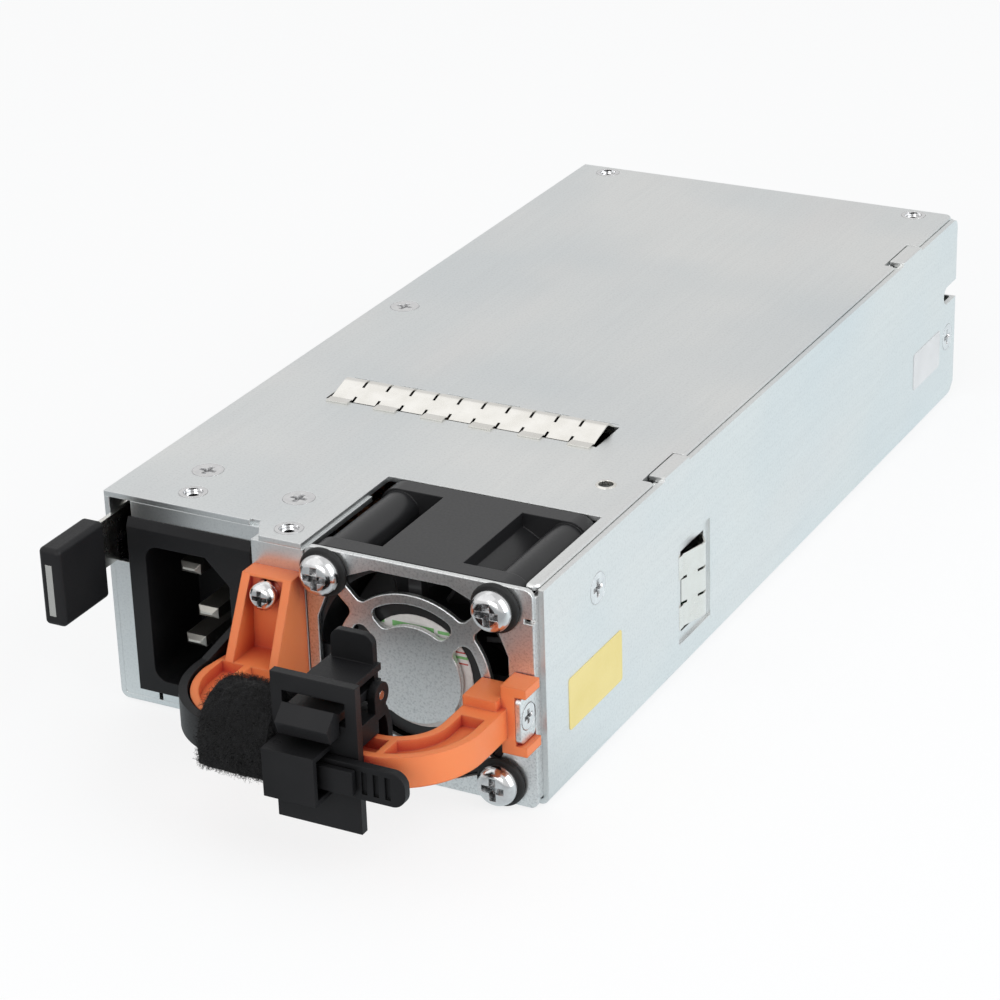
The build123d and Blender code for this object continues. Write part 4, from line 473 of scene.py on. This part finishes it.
def make_materials():
    """One material for each slot of the record."""
    looks = {
        "case_steel": case_steel("case_steel", CASE_SPECKLE),
        "loop_fabric": loop_fabric(),
        "label_paper": fan_label_paper(),
        "board_laminate": printed_board(),
        "copper_winding": wound_wire(),
    }
    for slot, finish in METALS.items():
        looks[slot] = grained_metal(slot, *finish)
    for slot, finish in MOULDED.items():
        looks[slot] = moulded(slot, *finish)
    return looks


def dress_nodes(looks):
    """Every solid of the frame gets its slot's material."""
    for subpart in frame["record"]["subparts"]:
        mesh = frame["nodes"][subpart["node"]].data
        mesh.materials.clear()
        mesh.materials.append(looks[subpart["material_slot"]])


def middle_of(node):
    """The middle of a node's box."""
    low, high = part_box(node)
    return (low + high) / 2


def placed(name, data):
    """A new object of the scene from its data."""
    item = bpy.data.objects.new(name, data)
    bpy.context.scene.collection.objects.link(item)
    return item


def new_piece(name, mesh, material, body):
    """A mesh object that rides on a body and takes its finish from a slot."""
    piece = placed(name, mesh)
    mesh.materials.append(material)
    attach(piece, body)
    return piece


def mesh_of(name, shape):
    """A mesh with a shape's faces. The shape is freed."""
    mesh = bpy.data.meshes.new(name)
    shape.to_mesh(mesh)
    shape.free()
    return mesh


def bridge(shape, rings):
    """Faces between each ring of points and the next."""
    for first, second in zip(rings, rings[1:]):
        count = len(first)
        for number in range(count):
            after = (number + 1) % count
            shape.faces.new((first[number], first[after], second[after], second[number]))


def arc(centre, radius, start, end, steps=ARC_STEPS):
    """Points of a round stretch, with its ends at two angles."""
    turns = [start + (end - start) * step / steps for step in range(steps + 1)]
    return [(centre[0] + radius * math.cos(turn), centre[1] + radius * math.sin(turn)) for turn in turns]


def circle(centre, radius, count):
    """Points of a whole circle, evenly spaced."""
    return arc(centre, radius, 0, 2 * math.pi, count)[:-1]


def rounded_outline(low, high, corner, steps=ARC_STEPS):
    """A rectangle with round corners, anticlockwise from its lower right corner."""
    points = []
    middles = ((high[0] - corner, low[1] + corner), (high[0] - corner, high[1] - corner),
               (low[0] + corner, high[1] - corner), (low[0] + corner, low[1] + corner))
    for quarter, middle in enumerate(middles):
        start = math.pi / 2 * (quarter - 1)
        points += arc(middle, corner, start, start + math.pi / 2, steps)
    return points


def rounded_plate(name, width, height, thickness, corner):
    """A flat plate in its own X and Y with rounded corners and a softened rim, standing on Z = 0."""
    shape = bmesh.new()
    outline = rounded_outline((-width / 2, -height / 2), (width / 2, height / 2), corner, LABEL_CORNER_STEPS)
    inset = 1 - thickness / width
    low = [shape.verts.new((x, y, 0)) for x, y in outline]
    rim = [shape.verts.new((x, y, thickness * LABEL_RIM)) for x, y in outline]
    top = [shape.verts.new((x * inset, y * inset, thickness)) for x, y in outline]
    bridge(shape, [low, rim, top])
    shape.faces.new(top)
    shape.faces.new(list(reversed(low)))
    return mesh_of(name, shape)


def wall_label(name, place, size, material):
    """A blank paper label stuck to the right wall."""
    mesh = rounded_plate(name, *size, LABEL_THICKNESS, LABEL_CORNER)
    wall_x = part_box("chassis")[1].x
    mesh.transform(Matrix.Translation((wall_x, *place)) @ FACING_RIGHT)
    new_piece(name, mesh, material, "case")


def off_diagonal(along, aside):
    """A point from its distances along and beside a spoke's diagonal."""
    return (along + aside) / math.sqrt(2), (along - aside) / math.sqrt(2)


def with_mirror_image(points):
    """An outline's half and its mirror image across the window's middle line."""
    return points + [(x, -y) for x, y in reversed(points)]


def outer_window():
    """A grille window outside the ring: its half from the ring's middle out to the straight edge."""
    bend = GRILLE_ROUND
    aside = GRILLE_SPOKE / 2 + bend
    along = math.sqrt((GRILLE_RING + bend) ** 2 - aside ** 2)
    foot = off_diagonal(along, aside)
    foot_angle = math.atan2(foot[1], foot[0])
    lean = Vector((math.cos(GRILLE_SLOPE), math.sin(GRILLE_SLOPE)))
    limit = lean.dot(Vector((GRILLE_HALF, GRILLE_FLAT))) - bend
    shoulder = off_diagonal((math.sqrt(2) * limit - (lean.x - lean.y) * aside) / (lean.x + lean.y), aside)
    flank = GRILLE_HALF - bend, GRILLE_FLAT - bend * math.tan(GRILLE_SLOPE / 2)
    points = arc((0, 0), GRILLE_RING, 0, foot_angle)[1:-1]
    points += arc(foot, bend, foot_angle - math.pi, FLANK - 2 * math.pi)
    points += arc(shoulder, bend, FLANK, GRILLE_SLOPE)
    points += arc(flank, bend, GRILLE_SLOPE, 0)
    return with_mirror_image(points)


def slot_window():
    """A kidney slot between the ring and the disc: its half from the inner edge to the outer one."""
    bend = GRILLE_SLOT_ROUND
    aside = GRILLE_SPOKE / 2 + bend
    inner, outer = GRILLE_SLOT
    near = off_diagonal(math.sqrt((inner + bend) ** 2 - aside ** 2), aside)
    far = off_diagonal(math.sqrt((outer - bend) ** 2 - aside ** 2), aside)
    near_angle = math.atan2(near[1], near[0])
    far_angle = math.atan2(far[1], far[0])
    points = arc((0, 0), inner, 0, near_angle)[1:-1]
    points += arc(near, bend, near_angle - math.pi, FLANK - 2 * math.pi)
    points += arc(far, bend, FLANK, far_angle)
    points += arc((0, 0), outer, far_angle, 0)[1:-1]
    return with_mirror_image(points)


def plate_outlines(low, high):
    """The plate's face: its edge with the notch in the right side, then windows, slots and screw holes."""
    fan = middle_of("fan_label").xz
    edge = rounded_outline((low.x, low.z), (high.x, high.z), PLATE_CORNER)
    notch_x = high.x - PLATE_NOTCH_DEPTH
    notch_low, notch_high = PLATE_NOTCH
    notch = [(high.x, notch_low), (notch_x, notch_low), (notch_x, notch_high), (high.x, notch_high)]
    right_side = ARC_STEPS + 1
    outlines = [edge[:right_side] + notch + edge[right_side:]]
    for quarter in range(4):
        turn = Matrix.Rotation(math.pi / 2 * quarter, 2)
        for window in (outer_window(), slot_window()):
            outlines.append([fan + turn @ Vector(point) for point in window])
        corner = fan + turn @ Vector((FAN_HOLE_REACH, FAN_HOLE_REACH))
        outlines.append(circle(corner, FAN_HOLE_RADIUS, HOLE_POINTS))
    return outlines


def punched_sheet(name, outlines, place):
    """A sheet with holes, its outline first, that lies behind its own X and Y plane and has soft edges."""
    data = bpy.data.curves.new(name, "CURVE")
    data.dimensions = "2D"
    data.fill_mode = "BOTH"
    data.extrude = SHEET / 2 - PUNCH_EDGE
    data.bevel_depth = PUNCH_EDGE
    data.bevel_resolution = PUNCH_EDGE_STEPS
    data.offset = -PUNCH_EDGE
    for outline in outlines:
        spline = data.splines.new("POLY")
        spline.points.add(len(outline) - 1)
        for point, (x, y) in zip(spline.points, outline):
            point.co = (x, y, 0, 1)
        spline.use_cyclic_u = True
    holder = placed(name, data)
    bpy.context.view_layer.update()
    mesh = bpy.data.meshes.new_from_object(holder.evaluated_get(bpy.context.evaluated_depsgraph_get()))
    bpy.data.objects.remove(holder)
    mesh.transform(place @ Matrix.Translation((0, 0, -SHEET / 2)))
    return mesh


def fan_plate(material):
    """The front plate with its punched grille, folded side and the handle's tab."""
    low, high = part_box("fan_plate")
    front_y = low.y + SIDE_TAB_LENGTH
    flange_low, flange_high = PLATE_FLANGE
    flange = rounded_outline((SHEET, flange_low), (high.y - front_y, flange_high), PLATE_FLANGE_CORNER)
    tab_low, tab_high = SIDE_TAB
    tab = rounded_outline((-SIDE_TAB_LENGTH, tab_low), (0, tab_high), SIDE_TAB_CORNER)
    hole = circle(SIDE_TAB_HOLE, SIDE_TAB_HOLE_RADIUS, HOLE_POINTS)
    front = Matrix.Translation((0, front_y, 0)) @ FACING_FRONT
    right = Matrix.Translation((high.x, front_y, 0)) @ FACING_RIGHT
    face = plate_outlines(low, high)
    sheets = (("face", face, front), ("flange", [flange], right), ("tab", [tab, hole], right))
    shape = bmesh.new()
    for name, outlines, place in sheets:
        sheet = punched_sheet(name, outlines, place)
        shape.from_mesh(sheet)
        bpy.data.meshes.remove(sheet)
    bmesh.ops.remove_doubles(shape, verts=shape.verts, dist=WELD_DISTANCE)
    bmesh.ops.recalc_face_normals(shape, faces=shape.faces)
    for side in shape.faces:
        side.smooth = False
    mesh = mesh_of("punched_fan_plate", shape)
    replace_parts(new_piece("punched_fan_plate", mesh, material, "case"), "fan_plate")


def turned_ring(name, profile, place):
    """A closed ring from a profile of radii and heights, turned about its own Z."""
    shape = bmesh.new()
    rings = []
    for radius, height in profile:
        points = circle((0, 0), radius, TURNED_POINTS)
        rings.append([shape.verts.new((x, y, height)) for x, y in points])
    bridge(shape, rings + rings[:1])
    bmesh.ops.recalc_face_normals(shape, faces=shape.faces)
    mesh = mesh_of(name, shape)
    mesh.transform(place)
    return mesh


def tapped_rim(material):
    """The turned-up rim round the tapped hole in the cover."""
    profile = [(radius * MM, height * MM) for radius, height in TAPPED_RIM]
    mesh = turned_ring("tapped_rim", profile, Matrix.Translation((*TAPPED_PLACE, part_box("chassis")[1].z)))
    new_piece("tapped_rim", mesh, material, "case")


def fan_label(material):
    """The round label on the fan's hub, with a small hole for the sealed bearing and a soft edge."""
    low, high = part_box("fan_label")
    middle = middle_of("fan_label")
    thickness = high.y - low.y
    half = thickness / 2
    profile = ((FAN_LABEL_HOLE, 0), (FAN_LABEL_HOLE, thickness), (FAN_LABEL_RADIUS - half, thickness),
               (FAN_LABEL_RADIUS, half), (FAN_LABEL_RADIUS, 0))
    place = Matrix.Translation((middle.x, high.y, middle.z)) @ FACING_FRONT
    mesh = turned_ring("round_fan_label", profile, place)
    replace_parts(new_piece("round_fan_label", mesh, material, "case"), "fan_label")


def wrap_section(angle):
    """A point of the wrap's outline: an arch over the top, straight sides and a flat foot."""
    across = math.sin(angle)
    up = math.cos(angle)
    half = WRAP_HALF_WIDTH - WRAP_NAP
    if up >= 0:
        return half * across, (WRAP_CROWN - WRAP_NAP) * up
    drop = WRAP_DROP - WRAP_NAP
    side = max(abs(across) / half, -up / drop)
    return across / side, up / side


def wrap_bore(angle):
    """A point of the square hole through the wrap, in which the bar and the strap lie."""
    across = math.sin(angle)
    up = math.cos(angle)
    depth = WRAP_BORE_FRONT if across > 0 else WRAP_BORE_BACK
    side = max(abs(across) / depth, abs(up) / WRAP_BORE_HALF_HEIGHT)
    return across / side, up / side


def wrap_path(share, right_x):
    """A point of the wrap's middle line and the direction across it, from its right end round the corner."""
    corner = Vector(WRAP_CORNER)
    radius = corner.y - WRAP_MIDDLE_Y
    straight = right_x - corner.x
    distance = share * (straight + WRAP_TURN * radius)
    if distance <= straight:
        return Vector((right_x - distance, WRAP_MIDDLE_Y)), Vector((0, -1))
    angle = (distance - straight) / radius
    out = Vector((-math.sin(angle), -math.cos(angle)))
    return corner + out * radius, out


def wrap_ring(shape, share, right_x, outline, nap):
    """One ring of points of the wrap's shell, pushed in and out by its nap."""
    point, out = wrap_path(share, right_x)
    ring = []
    for number in range(WRAP_AROUND):
        across, up = outline(2 * math.pi * number / WRAP_AROUND)
        away = Vector((out.x * across, out.y * across, up))
        spot = Vector((point.x, point.y, WRAP_MIDDLE_Z)) + away
        lump = sum(noise.noise(spot * scale) for scale in WRAP_LUMPS) / len(WRAP_LUMPS)
        ring.append(shape.verts.new(spot + away.normalized() * lump * nap))
    return ring


def add_fibre(shape, start, normal):
    """One curled fibre, rooted a little under the surface and thinner towards its tip."""
    lean = Vector((random.uniform(-1, 1), random.uniform(-1, 1), random.uniform(-1, 1)))
    side = normal.cross(lean)
    if side.length < SMALLEST_LEAN:
        return
    side.normalize()
    other = normal.cross(side)
    length = random.uniform(*FIBRE_LENGTH)
    curl = random.uniform(*FIBRE_CURL)
    tip = (random.uniform(*FIBRE_TIP), 1.0, FIBRE_TIP_THICKNESS)
    points = [(start - normal * WRAP_NAP * FIBRE_ROOT, 1.0)]
    for height, aside, thickness in (*FIBRE_BENDS, tip):
        points.append((start + normal * length * height + side * length * curl * aside, thickness))
    rings = []
    for point, thickness in points:
        ring = []
        for number in range(FIBRE_SIDES):
            angle = 2 * math.pi * number / FIBRE_SIDES
            offset = (side * math.cos(angle) + other * math.sin(angle)) * FIBRE_RADIUS * thickness
            ring.append(shape.verts.new(point + offset))
        rings.append(ring)
    bridge(shape, rings)
    shape.faces.new(rings[-1])
    shape.faces.new(list(reversed(rings[0])))


def hook_loop_wrap(material):
    """The napped roll of hook-and-loop tape: a lumpy shell round the bar and strap with short fibres."""
    random.seed(WRAP_SEED)
    right_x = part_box("hook_loop_wrap")[1].x
    shape = bmesh.new()
    rings = [wrap_ring(shape, 0.0, right_x, wrap_bore, 0.0)]
    for number in range(WRAP_RINGS + 1):
        rings.append(wrap_ring(shape, number / WRAP_RINGS, right_x, wrap_section, WRAP_NAP))
    rings.append(wrap_ring(shape, 1.0, right_x, wrap_bore, 0.0))
    bridge(shape, rings + rings[:1])
    bmesh.ops.recalc_face_normals(shape, faces=shape.faces)
    faces = list(shape.faces)
    weights = [face.calc_area() for face in faces]
    for face in random.choices(faces, weights=weights, k=WRAP_FIBRES):
        corners = [corner.co.copy() for corner in face.verts]
        along = random.random()
        across = random.random()
        start = corners[0].lerp(corners[1], along).lerp(corners[3].lerp(corners[2], along), across)
        add_fibre(shape, start, face.normal.copy())
    mesh = mesh_of("hook_loop_pile", shape)
    piece = new_piece("hook_loop_pile", mesh, material, "case")
    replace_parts(piece, "hook_loop_wrap")


def camera():
    """The camera at the photograph's place and angle."""
    azimuth, elevation, roll = CAMERA_AZIMUTH, CAMERA_ELEVATION, CAMERA_ROLL
    back = Vector((math.sin(azimuth) * math.cos(elevation), -math.cos(azimuth) * math.cos(elevation),
                   math.sin(elevation)))
    right = Vector((math.cos(azimuth), math.sin(azimuth), 0))
    up = back.cross(right)
    turned_right = right * math.cos(roll) + up * math.sin(roll)
    turned_up = up * math.cos(roll) - right * math.sin(roll)
    data = bpy.data.cameras.new("camera")
    data.lens = CAMERA_LENS
    data.sensor_width = SENSOR_WIDTH
    data.sensor_fit = "HORIZONTAL"
    data.clip_start = CAMERA_NEAR
    view = placed("camera", data)
    rotation = Matrix((turned_right, turned_up, back)).transposed().to_4x4()
    view.matrix_world = Matrix.Translation(CAMERA_PLACE) @ rotation
    bpy.context.scene.camera = view


def seen_directly(tree):
    """1 for rays from the camera, from mirrors and through glass, and then 1 for rays from mirrors alone."""
    path = add_node(tree, "LightPath").outputs
    shown = path["Is Camera Ray"]
    for ray in ("Is Glossy Ray", "Is Transmission Ray"):
        either = add_node(tree, "Math", {"operation": "MAXIMUM"})
        tree.links.new(shown, either.inputs[0])
        tree.links.new(path[ray], either.inputs[1])
        shown = either.outputs["Value"]
    return shown, path["Is Glossy Ray"]


def surroundings():
    """A world that is white to the camera, dimmer in mirrors and dimmer still as light."""
    world = bpy.data.worlds.new("studio")
    bpy.context.scene.world = world
    world.use_nodes = True
    tree = world.node_tree
    background = tree.nodes["Background"]
    background.inputs["Color"].default_value = colour(WHITE)
    shown, in_mirror = seen_directly(tree)
    seen_strength = spread(tree, in_mirror, 1.0, WORLD_MIRROR, 0.0, 1.0)
    strength = spread(tree, shown, WORLD_LIGHT, seen_strength, 0.0, 1.0)
    tree.links.new(strength, background.inputs["Strength"])


def floor_material():
    """A pale matt floor, mostly white to the camera and tinted in mirrors, that keeps the object's shadow."""
    material = bpy.data.materials.new("floor")
    material.use_nodes = True
    tree = material.node_tree
    tree.nodes.clear()
    shown, in_mirror = seen_directly(tree)
    place = add_node(tree, "TexCoord").outputs["Object"]
    along_y = add_node(tree, "SeparateXYZ", Vector=place).outputs["Y"]
    beside = spread(tree, along_y, 0.0, 1.0, *FLOOR_MIRROR_BAND)
    reflected = mixed(tree, beside, FLOOR_MIRROR_FRONT, FLOOR_MIRROR_SIDE)
    white = add_node(tree, "Emission", Color=mixed(tree, in_mirror, WHITE, reflected))
    matt = add_node(tree, "BsdfDiffuse", Color=colour(FLOOR_TONE))
    blend = add_node(tree, "MixShader", Fac=spread(tree, shown, 0.0, FLOOR_WHITE, 0.0, 1.0))
    tree.links.new(matt.outputs["BSDF"], blend.inputs[1])
    tree.links.new(white.outputs["Emission"], blend.inputs[2])
    output = add_node(tree, "OutputMaterial")
    tree.links.new(blend.outputs["Shader"], output.inputs["Surface"])
    return material


def lay_floor():
    """A square floor just under the object."""
    half = FLOOR_SIZE / 2
    corners = [(-half, -half, 0), (half, -half, 0), (half, half, 0), (-half, half, 0)]
    mesh = bpy.data.meshes.new("floor")
    mesh.from_pydata(corners, [], [(0, 1, 2, 3)])
    mesh.materials.append(floor_material())
    floor = placed("floor", mesh)
    floor.location.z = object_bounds()[0][2] - FLOOR_GAP


def area_light(name, place, size, power, tint):
    """A large soft lamp that points at the case."""
    data = bpy.data.lights.new(name, "AREA")
    data.shape = "RECTANGLE"
    data.size, data.size_y = size
    data.energy = power
    data.color = tint
    lamp = placed(name, data)
    lamp.location = place
    lamp.rotation_euler = (Vector(LAMP_TARGET) - Vector(place)).to_track_quat("-Z", "Y").to_euler()


def main():
    """Dresses the frame, adds what the solids leave out, and lights it."""
    looks = make_materials()
    dress_nodes(looks)
    hook_loop_wrap(looks["loop_fabric"])
    fan_plate(case_steel("plate_steel", PLATE_SPECKLE))
    tapped_rim(looks["spring_steel"])
    fan_label(looks["label_paper"])
    for name, place, size, dark, light in WALL_LABELS:
        wall_label(name + "_label", place, size, paper(name + "_paper", dark, light))
    camera()
    surroundings()
    lay_floor()
    for lamp in LAMPS:
        area_light(*lamp)
    bpy.context.scene.view_settings.view_transform = "Standard"


main()
